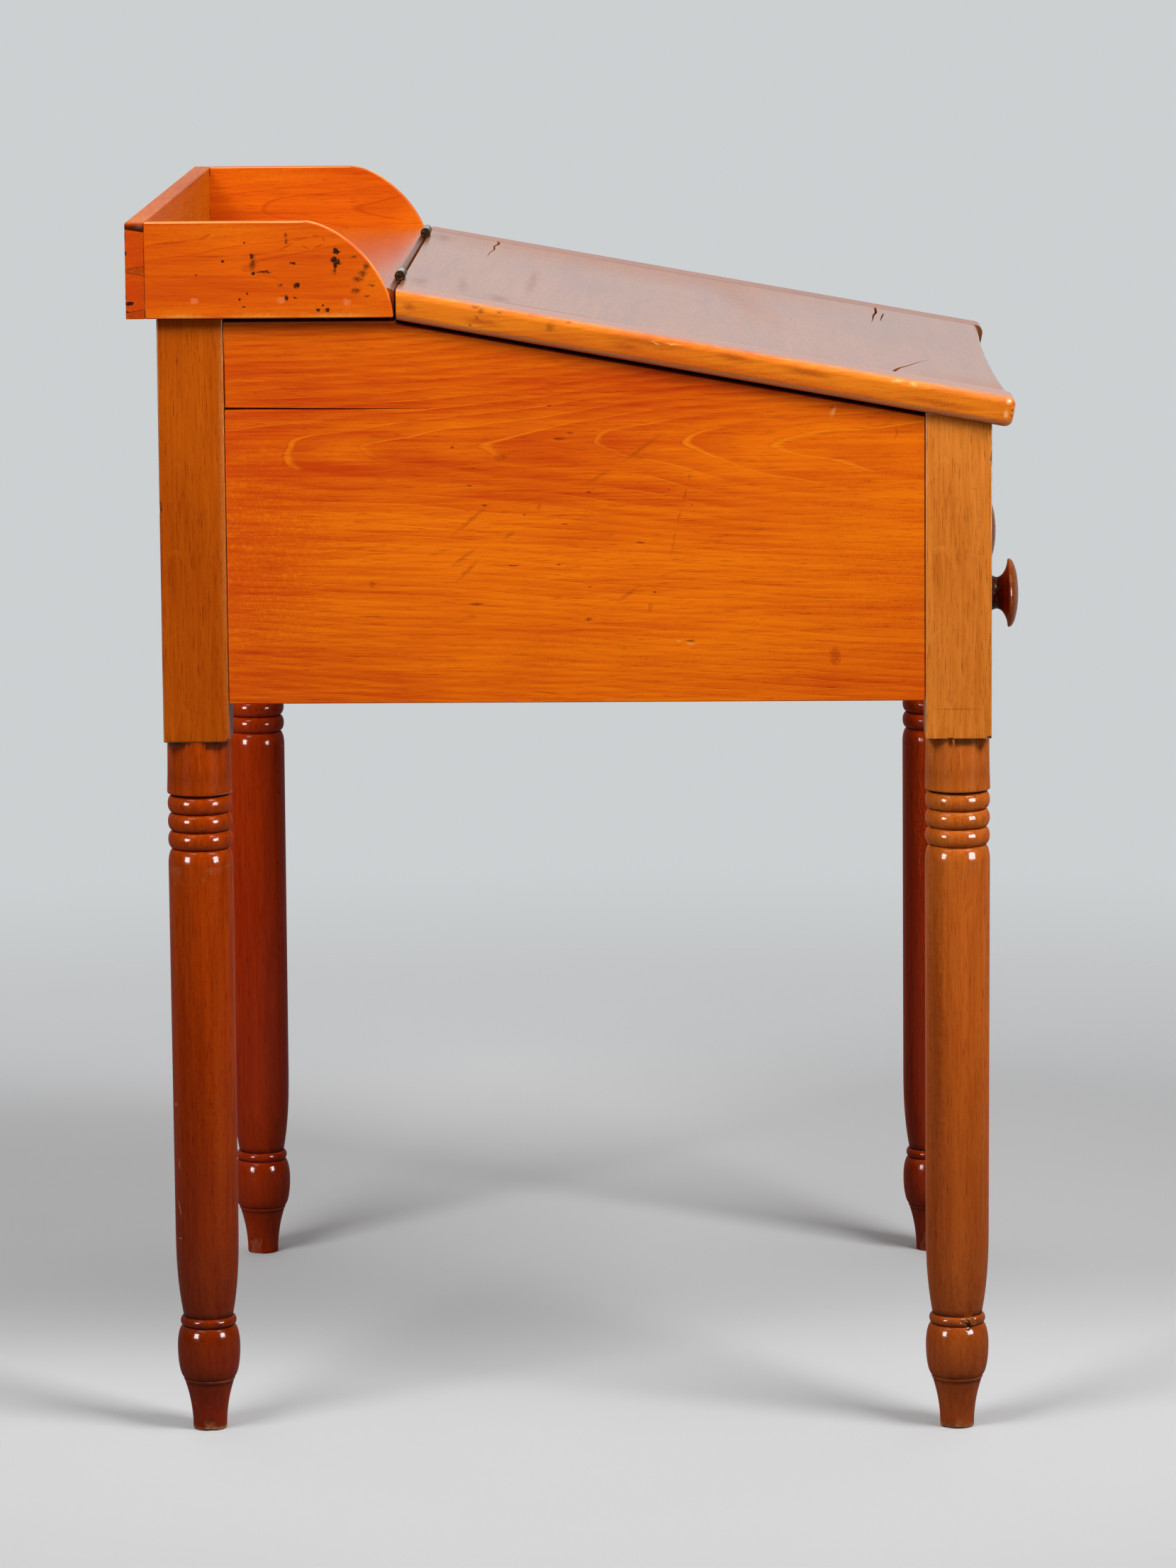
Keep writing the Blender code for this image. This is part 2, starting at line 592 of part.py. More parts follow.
def make_gallery():
    """Two swept side boards, through-dovetailed to the back board."""
    low, high = TOP_BOARD_Z, TOP_BOARD_Z + GALLERY_HEIGHT
    root_y = GALLERY_BACK_Y - GALLERY_T
    row = tail_row(low + GALLERY_TAIL_MARGIN, high - GALLERY_TAIL_MARGIN, GALLERY_TAILS,
                   GALLERY_TAIL_SHARE, GALLERY_T)
    sweep = []
    for k in range(SWEEP_STEPS + 1):
        turn = math.pi / 2 * k / SWEEP_STEPS
        along, rise = 1 - math.cos(turn) ** SWEEP_POWER, math.sin(turn) ** SWEEP_POWER
        sweep.append((GALLERY_TIP_Y + GALLERY_SWEEP * along, low + GALLERY_HEIGHT * rise))
    outline = [(root_y, low), *tail_edge(row, root_y, GALLERY_BACK_Y), (root_y, high), *reversed(sweep)]
    back = board("gallery_back", (-HALF_TOP, root_y + FIT, low), (HALF_TOP, GALLERY_BACK_Y, high),
                 SHELLAC_ORANGE, CASE)
    for name, side in SIDES:
        x_span = sorted((side * GALLERY_INNER, side * HALF_TOP))
        mesh = outline_mesh("gallery_side", outline, GALLERY_T)
        across(as_piece(f"gallery_side_{name}", mesh, SHELLAC_ORANGE, CASE), sum(x_span) / 2)
        cut_span = sorted((side * (GALLERY_INNER - FIT), side * (HALF_TOP + CUT_PAST)))
        sockets = tail_sockets("gallery_socket", row, root_y, GALLERY_BACK_Y, cut_span, CASE, CUT_PAST)
        for cutter in sockets:
            boolean(back, cutter, "DIFFERENCE")


def hinge_places():
    """Name and left end of each hinge along the joint."""
    return [(name, side * HINGE_X - HINGE_LENGTH / 2) for name, side in SIDES]


def screw_points(start):
    """Where a leaf's screws go, as (x, height from the axis)."""
    middle = (LEAF_TOP + LEAF_LOW) / 2
    points = []
    for k in range(HINGE_SCREWS):
        along = k / (HINGE_SCREWS - 1) - 0.5
        drop = SCREW_STAGGER / 2 if k % 2 else -SCREW_STAGGER / 2
        points.append((start + HINGE_LENGTH / 2 + SCREW_SPREAD * along, middle - drop))
    return points


def screw_profile(grow, past):
    """A countersunk screw from its head down; grow and past make it a cutter."""
    head, shank = SCREW_HEAD_R + grow, SCREW_SHANK_R + grow
    tip = SCREW_LENGTH + grow
    points = [(0, past)]
    if past:
        points.append((head, past))
    points += [(head, 0), (shank, -SCREW_HEAD_H - grow), (shank, -tip + 2 * shank), (0, -tip)]
    return points


def place_screw(screw, x, z, face, parent):
    """Drive a screw from a leaf's face; face is +1 into the top board, -1 into the lid."""
    screw.rotation_euler.x = face * math.pi / 2
    screw.location = (x, face * FIT, z)
    screw.parent = parent
    return screw


def hinge_leaf(name, start, face, first_knuckle, material):
    """A leaf with every second knuckle; face is +1 on the top board, -1 on the lid."""
    pitch = HINGE_LENGTH / KNUCKLES
    near, far = sorted((face * FIT, face * (FIT + LEAF_T)))
    leaf = board(name, (start, near, LEAF_LOW), (start + HINGE_LENGTH, far, LEAF_TOP), material, LID_PIVOT)
    spans = []
    for k in range(first_knuckle, KNUCKLES, 2):
        gap_low = FIT / 2 if k else 0.0
        gap_high = FIT / 2 if k < KNUCKLES - 1 else 0.0
        spans.append((start + pitch * k + gap_low, start + pitch * (k + 1) - gap_high))
    overlap = LEAF_T / 2
    necks = [((a, near, LEAF_TOP - overlap), (b, far, -PIN_R)) for a, b in spans]
    boolean(leaf, as_cutter(box_mesh(f"{name}_necks", necks), LID_PIVOT), "UNION")
    boolean(leaf, as_cutter(rods_mesh(f"{name}_barrel", BARREL_R, spans), LID_PIVOT), "UNION")
    bore = [(start - CUT_PAST, start + HINGE_LENGTH + CUT_PAST)]
    boolean(leaf, as_cutter(rods_mesh(f"{name}_bore", PIN_R + FIT, bore), LID_PIVOT), "DIFFERENCE")
    return leaf


def leaf_gain(start, face):
    """The recess in a board edge that takes a leaf, scooped out above to clear the barrel."""
    far = 2 * FIT + LEAF_T
    room = BARREL_R + BARREL_CLEARANCE
    points = [(-FIT, LEAF_LOW - FIT), (far, LEAF_LOW - FIT)]
    first = math.asin(far / room)
    for k in range(SMALL_SIDES + 1):
        turn = first + (math.pi - first) * k / SMALL_SIDES
        points.append((room * math.sin(turn), -room * math.cos(turn)))
    points.append((-FIT, room))
    if face < 0:
        points = [(-y, z) for y, z in reversed(points)]
    gain = as_cutter(outline_mesh("hinge_gain", points, HINGE_LENGTH + 2 * FIT), LID_PIVOT)
    return across(gain, start + HINGE_LENGTH / 2)


def hang_hinges(carrier, face, label, first_knuckle):
    """Let the leaves on one side of the joint into their board, and screw them down."""
    for name, start in hinge_places():
        leaf = hinge_leaf(f"hinge_{name}_{label}_leaf", start, face, first_knuckle, HINGE_IRON)
        boolean(carrier, leaf_gain(start, face), "DIFFERENCE")
        for k, (x, z) in enumerate(screw_points(start)):
            mesh = profile_mesh("hinge_screw", screw_profile(0.0, 0.0))
            screw = as_piece(f"hinge_{name}_{label}_screw_{k + 1}", mesh, SCREW_IRON, LID_PIVOT)
            place_screw(turned(screw, SMALL_SIDES), x, z, face, LID_PIVOT)
            hole = as_cutter(profile_mesh("screw_hole", screw_profile(FIT, CUT_PAST / 2)), LID_PIVOT)
            place_screw(turned(hole, SMALL_SIDES), x, z, face, LID_PIVOT)
            boolean(leaf, hole, "DIFFERENCE")
            boolean(carrier, hole, "DIFFERENCE")


def make_hinge_pins():
    """One pin through the five knuckles of each hinge."""
    for name, start in hinge_places():
        mesh = rods_mesh("hinge_pin", PIN_R, [(start, start + HINGE_LENGTH)])
        as_piece(f"hinge_{name}_pin", mesh, HINGE_IRON, LID_PIVOT)


def make_top_board():
    """The fixed board behind the lid, inside the gallery."""
    reach = GALLERY_INNER - FIT
    front = HINGE_Y + JOINT_GAP / 2
    back = GALLERY_BACK_Y - GALLERY_T
    top = board("top_board", (-reach, front, TOP_BOARD_Z), (reach, back, TOP_FACE_Z), SHELLAC_ORANGE, CASE)
    middle = ((front + back) / 2, (TOP_BOARD_Z + TOP_FACE_Z) / 2)
    round_edges(top, lambda p: p.y < middle[0] and p.z > middle[1], TOP_NOSE)
    hang_hinges(top, 1, "top", 0)


def plumb_cut():
    """Trims the back of the lid upright, to stand level with the top board's edge."""
    low = (-HALF_TOP - CUT_PAST, -JOINT_GAP / 2, LID_BOTTOM - CUT_PAST)
    high = (HALF_TOP + CUT_PAST, LID_T * 2, LID_T)
    return as_cutter(box_mesh("plumb_cut", [(low, high)]), LID_PIVOT)


def make_lid():
    """The lid board with a cleat tongued across each end."""
    trim = plumb_cut()
    third = LID_T / 3
    tongue_y = (LID_FRONT + CLEAT_TONGUE_STOP, -CLEAT_TONGUE_STOP)
    tongue_z = (LID_BOTTOM + third, LID_TOP - third)
    outline = [(LID_BOARD_HALF, LID_T), (-LID_BOARD_HALF, LID_T)]
    for k in range(WORN_STEPS + 1):
        share = 2 * k / WORN_STEPS - 1
        outline.append((LID_BOARD_HALF * share, LID_BOARD_FRONT + WORN_SAG * (1 - share ** 2)))
    lid = as_piece("lid_board", outline_mesh("lid_board", outline, LID_T), SHELLAC_ORANGE, LID_PLANE)
    lid.location.z = (LID_BOTTOM + LID_TOP) / 2
    round_edges(lid, lambda p: p.y < LID_BOARD_FRONT / 2, LID_NOSE)
    tongues = []
    for side in (-1, 1):
        low = (LID_BOARD_HALF - CLEAT_TONGUE, tongue_y[0], tongue_z[0])
        high = (LID_BOARD_HALF + CLEAT_TONGUE, tongue_y[1], tongue_z[1])
        tongues.append(mirrored(side, low, high))
    boolean(lid, as_cutter(box_mesh("lid_tongues", tongues), LID_PLANE), "UNION")
    boolean(lid, trim, "DIFFERENCE")
    hang_hinges(lid, -1, "lid", 1)
    for name, side in SIDES:
        low, high = (HALF_TOP - CLEAT_WIDTH, LID_FRONT, LID_BOTTOM), (HALF_TOP, LID_T, LID_TOP)
        cleat = board(f"lid_cleat_{name}", *mirrored(side, low, high), SHELLAC_ORANGE, LID_PLANE)
        middle = HALF_TOP - CLEAT_WIDTH / 2

        def outer_edge(p, side=side, middle=middle):
            return p.x * side > middle or p.y < LID_FRONT / 2

        round_edges(cleat, outer_edge, LID_NOSE)
        low = (HALF_TOP - CLEAT_WIDTH - CUT_PAST, tongue_y[0] - FIT, tongue_z[0] - FIT)
        high = (LID_BOARD_HALF + CLEAT_TONGUE + FIT, tongue_y[1] + FIT, tongue_z[1] + FIT)
        groove = box_mesh(f"cleat_groove_{name}", [mirrored(side, low, high)])
        boolean(cleat, as_cutter(groove, LID_PLANE), "DIFFERENCE")
        boolean(cleat, trim, "DIFFERENCE")


def make_drawer():
    """Dovetailed drawer: front, two sides and back, with a bottom slid into grooves."""
    low, high = DRAWER_SIDE_Z
    front_row = tail_row(low + DRAWER_TAIL_MARGIN, high - DRAWER_TAIL_MARGIN, DRAWER_TAILS,
                         DRAWER_TAIL_SHARE, DRAWER_LAP)
    back_row = tail_row(*DRAWER_BACK_Z, DRAWER_TAILS, DRAWER_TAIL_SHARE, DRAWER_BACK_T)
    lap_y, root_y = DRAWER_FRONT_INNER - DRAWER_LAP, DRAWER_REAR - DRAWER_BACK_T
    outline = [(DRAWER_FRONT_INNER + FIT, low), (root_y, low)]
    outline += tail_edge(back_row, root_y, DRAWER_REAR)
    outline += [(root_y, high), (DRAWER_FRONT_INNER + FIT, high)]
    outline += tail_edge(front_row[::-1], DRAWER_FRONT_INNER + FIT, lap_y)
    front = board("drawer_front", (-DRAWER_HALF, FACE_Y, DRAWER_FRONT_Z[0]),
                  (DRAWER_HALF, DRAWER_FRONT_INNER, DRAWER_FRONT_Z[1]), SHELLAC_ORANGE, DRAWER)
    back = board("drawer_back", (-DRAWER_HALF, root_y + FIT, DRAWER_BACK_Z[0]),
                 (DRAWER_HALF, DRAWER_REAR, DRAWER_BACK_Z[1]), BARE_PINE, DRAWER)
    in_groove = DRAWER_INNER + DRAWER_GROOVE
    floor_low = (-in_groove, DRAWER_FRONT_INNER - DRAWER_GROOVE, DRAWER_FLOOR_Z[0])
    floor_high = (in_groove, DRAWER_REAR, DRAWER_FLOOR_Z[1])
    board("drawer_bottom", floor_low, floor_high, BARE_PINE, DRAWER)
    groove_box = ([v - FIT for v in floor_low], [v + FIT for v in floor_high])
    groove = as_cutter(box_mesh("drawer_groove", [groove_box]), DRAWER)
    boolean(front, groove, "DIFFERENCE")
    for name, side in SIDES:
        mesh = outline_mesh("drawer_side", outline, DRAWER_SIDE_T)
        wall = as_piece(f"drawer_side_{name}", mesh, BARE_PINE, DRAWER)
        across(wall, side * (DRAWER_HALF - DRAWER_SIDE_T / 2))
        boolean(wall, groove, "DIFFERENCE")
        cut_span = sorted((side * (DRAWER_INNER - FIT), side * (DRAWER_HALF + CUT_PAST)))
        laps = tail_sockets("front_socket", front_row, DRAWER_FRONT_INNER, lap_y, cut_span, DRAWER, FIT)
        for cutter in laps:
            boolean(front, cutter, "DIFFERENCE")
        sockets = tail_sockets("back_socket", back_row, root_y, DRAWER_REAR, cut_span, DRAWER, CUT_PAST)
        for cutter in sockets:
            boolean(back, cutter, "DIFFERENCE")
    fit_knobs(front)


def knob_profile():
    """A mushroom knob from the crown of its head down to the end of its tenon."""
    head = KNOB_PROJECTION
    under = head - KNOB_DOME_H - KNOB_RIM_T
    points = []
    for k in range(5):
        turn = math.pi / 2 * k / 4
        points.append((KNOB_R * math.sin(turn), head - KNOB_DOME_H * (1 - math.cos(turn))))
    points += [(KNOB_R - KNOB_RIM_T / 2, under), (KNOB_THROAT_R, under - KNOB_RIM_T)]
    middle = (under - KNOB_RIM_T) * 0.42
    points += [(KNOB_NECK_R, middle), (KNOB_BASE_R, FIT), (KNOB_TENON_R, FIT)]
    points += [(KNOB_TENON_R, -DRAWER_FRONT_T), (0, -DRAWER_FRONT_T)]
    return points


def fit_knobs(front):
    """Two turned knobs, each on a tenon through the drawer front."""
    for name, side in SIDES:
        place = (side * KNOB_X, FACE_Y, KNOB_Z)
        knob = as_piece(f"knob_{name}", profile_mesh("knob", knob_profile()), KNOB_BROWN, DRAWER)
        turned(knob, KNOB_SIDES)
        bore = profile_mesh("knob_bore", [(0, CUT_PAST), (KNOB_TENON_R + FIT, CUT_PAST),
                                          (KNOB_TENON_R + FIT, -DRAWER_FRONT_T - CUT_PAST),
                                          (0, -DRAWER_FRONT_T - CUT_PAST)])
        hole = turned(as_cutter(bore, DRAWER), KNOB_SIDES)
        for thing in (knob, hole):
            thing.rotation_euler.x = math.pi / 2
            thing.location = place
        boolean(front, hole, "DIFFERENCE")


make_legs()
make_side_panels()
make_cross_boards()
make_drawer_rail()
make_inner_strips()
make_well_floor()
make_gallery()
make_top_board()
make_lid()
make_hinge_pins()
make_drawer()
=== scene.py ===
"""Schoolmaster's desk: the looks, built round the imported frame.

Units are metres. X runs across the desk, the sitter is on the -Y side, and Z is up.
"""
import json
import math

import bmesh
import bpy
from mathutils import Matrix, Vector, noise

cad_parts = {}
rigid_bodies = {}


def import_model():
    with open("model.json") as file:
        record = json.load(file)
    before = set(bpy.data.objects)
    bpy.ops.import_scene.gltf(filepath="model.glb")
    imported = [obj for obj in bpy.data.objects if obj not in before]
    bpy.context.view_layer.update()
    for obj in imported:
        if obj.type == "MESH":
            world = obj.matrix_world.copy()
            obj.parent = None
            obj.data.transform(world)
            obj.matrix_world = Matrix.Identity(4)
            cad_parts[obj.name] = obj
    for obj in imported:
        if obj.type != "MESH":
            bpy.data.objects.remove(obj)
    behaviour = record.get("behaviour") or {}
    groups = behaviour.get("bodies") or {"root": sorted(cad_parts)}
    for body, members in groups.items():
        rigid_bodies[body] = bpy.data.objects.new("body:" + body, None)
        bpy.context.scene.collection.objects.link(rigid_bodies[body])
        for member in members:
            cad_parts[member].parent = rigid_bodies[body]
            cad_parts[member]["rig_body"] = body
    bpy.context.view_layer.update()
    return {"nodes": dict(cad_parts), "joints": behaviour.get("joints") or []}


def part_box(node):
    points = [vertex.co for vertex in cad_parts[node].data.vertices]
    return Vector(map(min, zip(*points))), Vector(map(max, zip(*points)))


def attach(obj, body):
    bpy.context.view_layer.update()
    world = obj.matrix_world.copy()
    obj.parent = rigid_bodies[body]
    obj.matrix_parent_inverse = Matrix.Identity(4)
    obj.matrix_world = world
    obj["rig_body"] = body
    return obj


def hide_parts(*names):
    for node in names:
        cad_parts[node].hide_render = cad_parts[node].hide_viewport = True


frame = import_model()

# Camera: five metres from the sitter's left side, a little above the lid, with a long lens.
# It is turned and tipped by the small angles at which the picture was taken.
scene = bpy.context.scene
scene.view_settings.view_transform = "Standard"
picture_height = 2212
focal_length = 9443
eye = Vector((-5.361, -0.1052, 1.2842))
yaw, pitch, roll = math.radians(1.127), math.radians(8.782), math.radians(-0.454)
ahead = Vector((math.cos(pitch) * math.cos(yaw), math.cos(pitch) * math.sin(yaw), -math.sin(pitch)))
level = Vector((math.sin(yaw), -math.cos(yaw), 0))
upright = level.cross(ahead)
rightward = math.cos(roll) * level + math.sin(roll) * upright
upward = math.cos(roll) * upright - math.sin(roll) * level
bpy.ops.object.camera_add()
camera = bpy.context.object
camera.matrix_world = Matrix.Translation(eye) @ Matrix((rightward, upward, -ahead)).transposed().to_4x4()
camera.data.sensor_width = 36
camera.data.lens = focal_length / picture_height * camera.data.sensor_width
scene.camera = camera

# Studio: a pale floor that fades into a pale surround, two softboxes either side of the camera and a broad
# one overhead. Two low lamps draw the glints on the turnings alone, and a third softly fills the far side.
# The side behind the camera is dark.
surround = (0.61, 0.63, 0.64, 1)
turnings = bpy.data.collections.new("turnings")
pieces = bpy.data.collections.new("pieces")


def put(tree, kind, inputs=None, **settings):
    """Add a shader node, with its settings and inputs."""
    node = tree.nodes.new("ShaderNode" + kind)
    for name, value in settings.items():
        setattr(node, name, value)
    for name, value in (inputs or {}).items():
        if isinstance(value, bpy.types.NodeSocket):
            tree.links.new(value, node.inputs[name])
        else:
            node.inputs[name].default_value = value
    return node


def reckon(tree, operation, *values, clamp=False):
    """Do one sum on values or sockets."""
    node = put(tree, "Math", dict(enumerate(values)), operation=operation, use_clamp=clamp)
    return node.outputs[0]


def ramp(tree, value, low, high, start=0.0, end=1.0, kind="SMOOTHSTEP"):
    """Ease a value from start to end as it goes from low to high."""
    inputs = {"Value": value, "From Min": low, "From Max": high, "To Min": start, "To Max": end}
    return put(tree, "MapRange", inputs, interpolation_type=kind).outputs[0]


def blend(tree, share, first, second, kind="MIX"):
    """Mix two colours."""
    node = put(tree, "Mix", {0: share, 6: first, 7: second}, data_type="RGBA", blend_type=kind)
    return node.outputs[2]


def softbox(name, place, target, size, watts, spread=180, glint=False, fill=False):
    """A square lamp aimed at a point. A glint shows on polished turnings alone; a fill has no reflection."""
    bpy.ops.object.light_add(type="AREA", location=place)
    lamp = bpy.context.object
    lamp.name = name
    lamp.data.size = size
    lamp.data.energy = watts
    lamp.data.spread = math.radians(spread)
    lamp.visible_diffuse = not glint
    lamp.visible_glossy = not fill
    if glint or fill:
        lamp.light_linking.receiver_collection = turnings if glint else pieces
    lamp.visible_camera = False
    lamp.rotation_euler = (Vector(target) - Vector(place)).to_track_quat("-Z", "Y").to_euler()


softbox("lamp_left", (-1.78, 1.39, 2.76), (0, 0, 0.78), 1.2, 9.5, 70)
softbox("lamp_right", (-1.45, -1.73, 2.76), (0, 0, 0.78), 1.2, 14.5, 70)
softbox("lamp_above", (0.3, 0.0, 3.6), (0, 0, 0.5), 2.6, 22)
softbox("glint_left", (-2.6, 2.65, 1.1), (-0.31, 0, 0.45), 1.0, 400, glint=True)
softbox("glint_right", (-1.42, -1.73, 0.86), (-0.31, 0, 0.45), 0.75, 220, glint=True)
softbox("fill_far", (2.3, 0.9, 0.9), (0, 0, 0.6), 1.4, 8, 100, fill=True)

room = bpy.data.worlds.new("room")
room.use_nodes = True
scene.world = room
tree = room.node_tree
tree.nodes.clear()
heading = put(tree, "SeparateXYZ", {0: put(tree, "TexCoord").outputs["Generated"]}).outputs[0]
path = put(tree, "LightPath").outputs
seen = reckon(tree, "MAXIMUM", path["Is Camera Ray"], path["Is Transmission Ray"])
mirrored_room = blend(tree, ramp(tree, heading, -0.1, 0.6), (0.03, 0.03, 0.032, 1), (0.5, 0.515, 0.53, 1))
lit = blend(tree, path["Is Glossy Ray"], (0.24, 0.245, 0.25, 1), mirrored_room)
shown = put(tree, "Background", {0: blend(tree, seen, lit, surround), 1: 1.0})
tree.links.new(shown.outputs[0], put(tree, "OutputWorld").inputs[0])

bpy.ops.mesh.primitive_circle_add(vertices=96, radius=9, fill_type="NGON")
floor = bpy.context.object
floor.name = "floor"
paint = bpy.data.materials.new("pale_floor")
paint.use_nodes = True
tree = paint.node_tree
place = put(tree, "TexCoord").outputs["Object"]
mottle = put(tree, "TexNoise", {"Vector": place, "Scale": 3.0, "Detail": 3.0}).outputs[0]
shader = tree.nodes["Principled BSDF"]
pale = blend(tree, mottle, (0.66, 0.665, 0.67, 1), (0.7, 0.705, 0.71, 1))
path = put(tree, "LightPath").outputs
seen = reckon(tree, "MAXIMUM", path["Is Camera Ray"], path["Is Transmission Ray"])
seen = reckon(tree, "MAXIMUM", seen, path["Is Glossy Ray"])
tree.links.new(blend(tree, seen, (0.1, 0.1, 0.1, 1), pale), shader.inputs["Base Color"])
shader.inputs["Roughness"].default_value = 0.75
shader.inputs["Specular IOR Level"].default_value = 0.15
distance = put(tree, "VectorMath", {0: place}, operation="LENGTH").outputs["Value"]
underside = put(tree, "NewGeometry").outputs["Backfacing"]
faded = reckon(tree, "MAXIMUM", ramp(tree, distance, 0.75, 2.4), underside)
clear = put(tree, "BsdfTransparent")
cover = put(tree, "MixShader", {0: faded, 1: shader.outputs[0], 2: clear.outputs[0]})
tree.links.new(cover.outputs[0], tree.nodes["Material Output"].inputs[0])
floor.data.materials.append(paint)

# Legs: four square posts of a close-grained hardwood, each turned on the lathe below its shoulder
# into a collar, three beads, a long shaft, a ring, a bulb and a tapered foot. Red-brown shellac,
# faded on the near front leg, rubbed off the arrises and chipped at the rings and the feet.
# A point within a touch of a plane lies on it.
touch = 0.0002


def combine(tree, operation, first, second):
    """Do one sum on two vectors."""
    return put(tree, "VectorMath", {0: first, 1: second}, operation=operation).outputs[0]


def wood_group():
    """Shellac over wood. The vector's X runs along the grain, on which the heart of the tree lies."""
    group = bpy.data.node_groups.new("shellac_wood", "ShaderNodeTree")
    colours = ("Pale", "Deep", "Fleck", "Line", "Bare")
    amounts = ("Ring Spacing", "Figure", "Flecks", "Gloss", "Crackle", "Worn", "Grime_And_Shade")
    kinds = {"Vector": "NodeSocketVector"}
    kinds.update({name: "NodeSocketColor" for name in colours})
    kinds.update({name: "NodeSocketFloat" for name in amounts})
    for name, kind in kinds.items():
        group.interface.new_socket(name, in_out="INPUT", socket_type=kind)
    kinds = {"Color": "NodeSocketColor", "Roughness": "NodeSocketFloat", "Height": "NodeSocketFloat"}
    for name, kind in kinds.items():
        group.interface.new_socket(name, in_out="OUTPUT", socket_type=kind)
    given = group.nodes.new("NodeGroupInput").outputs
    result = group.nodes.new("NodeGroupOutput")

    def speckle(scale, detail=2.0, rough=0.5):
        stretched = put(group, "Mapping", {"Vector": given["Vector"], "Scale": scale}).outputs[0]
        inputs = {"Vector": stretched, "Scale": 1.0, "Detail": detail, "Roughness": rough}
        return put(group, "TexNoise", inputs).outputs

    def times(first, second):
        return reckon(group, "MULTIPLY", first, second)

    def plus(onto, value, share, clamp=False):
        return reckon(group, "MULTIPLY_ADD", value, share, onto, clamp=clamp)

    def swing(onto, value, share):
        return plus(onto, reckon(group, "SUBTRACT", value, 0.5), share)

    wander = combine(group, "SUBTRACT", speckle((3.0, 13.0, 13.0), 3.0)["Color"], (0.5, 0.5, 0.5))
    wander = combine(group, "MULTIPLY", wander, (0.0, 0.022, 0.022))
    axis = put(group, "SeparateXYZ", {0: combine(group, "ADD", given["Vector"], wander)}).outputs
    spread = reckon(group, "ADD", times(axis[1], axis[1]), times(axis[2], axis[2]))
    coned = plus(reckon(group, "SQRT", spread), axis[0], times(given["Ring Spacing"], 12.0))
    year = reckon(group, "FRACT", reckon(group, "DIVIDE", coned, given["Ring Spacing"]))
    line = times(ramp(group, year, 0.88, 0.95), ramp(group, year, 0.96, 1.0, 1.0, 0.0))
    line = times(line, ramp(group, speckle((6.0, 20.0, 20.0))[0], 0.35, 0.65))
    late = ramp(group, year, 0.1, 0.8)
    fibre = speckle((14.0, 420.0, 420.0), 3.0, 0.65)[0]
    streak = speckle((3.0, 80.0, 80.0), 4.0, 0.65)[0]
    cloud = speckle((4.0, 11.0, 11.0), 3.0, 0.6)[0]
    fleck = ramp(group, speckle((75.0, 1500.0, 1500.0))[0], 0.56, 0.74)
    scatter = speckle((42.0, 42.0, 42.0), 4.0, 0.7)[0]
    crackle = speckle((620.0, 760.0, 760.0), 2.0, 0.6)[0]

    tone = swing(0.5, cloud, 1.5)
    tone = swing(tone, streak, 1.5)
    tone = swing(tone, fibre, 1.2)
    tone = swing(tone, late, times(given["Figure"], -0.3))
    tone = reckon(group, "MINIMUM", reckon(group, "MAXIMUM", tone, 0.0), 1.0)
    colour = blend(group, tone, given["Deep"], given["Pale"])
    colour = blend(group, times(line, given["Figure"]), colour, given["Line"])
    colour = blend(group, times(fleck, given["Flecks"]), colour, given["Fleck"])
    ragged = ramp(group, swing(given["Worn"], scatter, 1.6), 0.3, 0.85)
    ragged = times(ragged, ramp(group, given["Worn"], 0.0, 0.25))
    colour = blend(group, ragged, colour, given["Bare"])
    # Hollows go near-black, for soiling and as painted shade.
    dirt_and_shade = times(given["Grime_And_Shade"], ramp(group, scatter, 0.2, 0.6, 0.5, 1.0))
    colour = blend(group, dirt_and_shade, colour, (0.03, 0.006, 0.001, 1))
    rough = plus(given["Gloss"], scatter, 0.16)
    rough = plus(rough, ragged, 0.22)
    rough = plus(rough, dirt_and_shade, 0.25, clamp=True)
    height = plus(times(fleck, -0.22), fibre, 0.3)
    height = plus(height, scatter, 0.25)
    height = plus(height, crackle, given["Crackle"])
    height = plus(height, ragged, -0.35)
    for name, value in (("Color", colour), ("Roughness", rough), ("Height", height)):
        group.links.new(value, result.inputs[name])
    return group


shellac_wood = wood_group()
along_x, along_y, along_z = (0, 0, 0), (0, 0, -math.pi / 2), (0, math.pi / 2, 0)


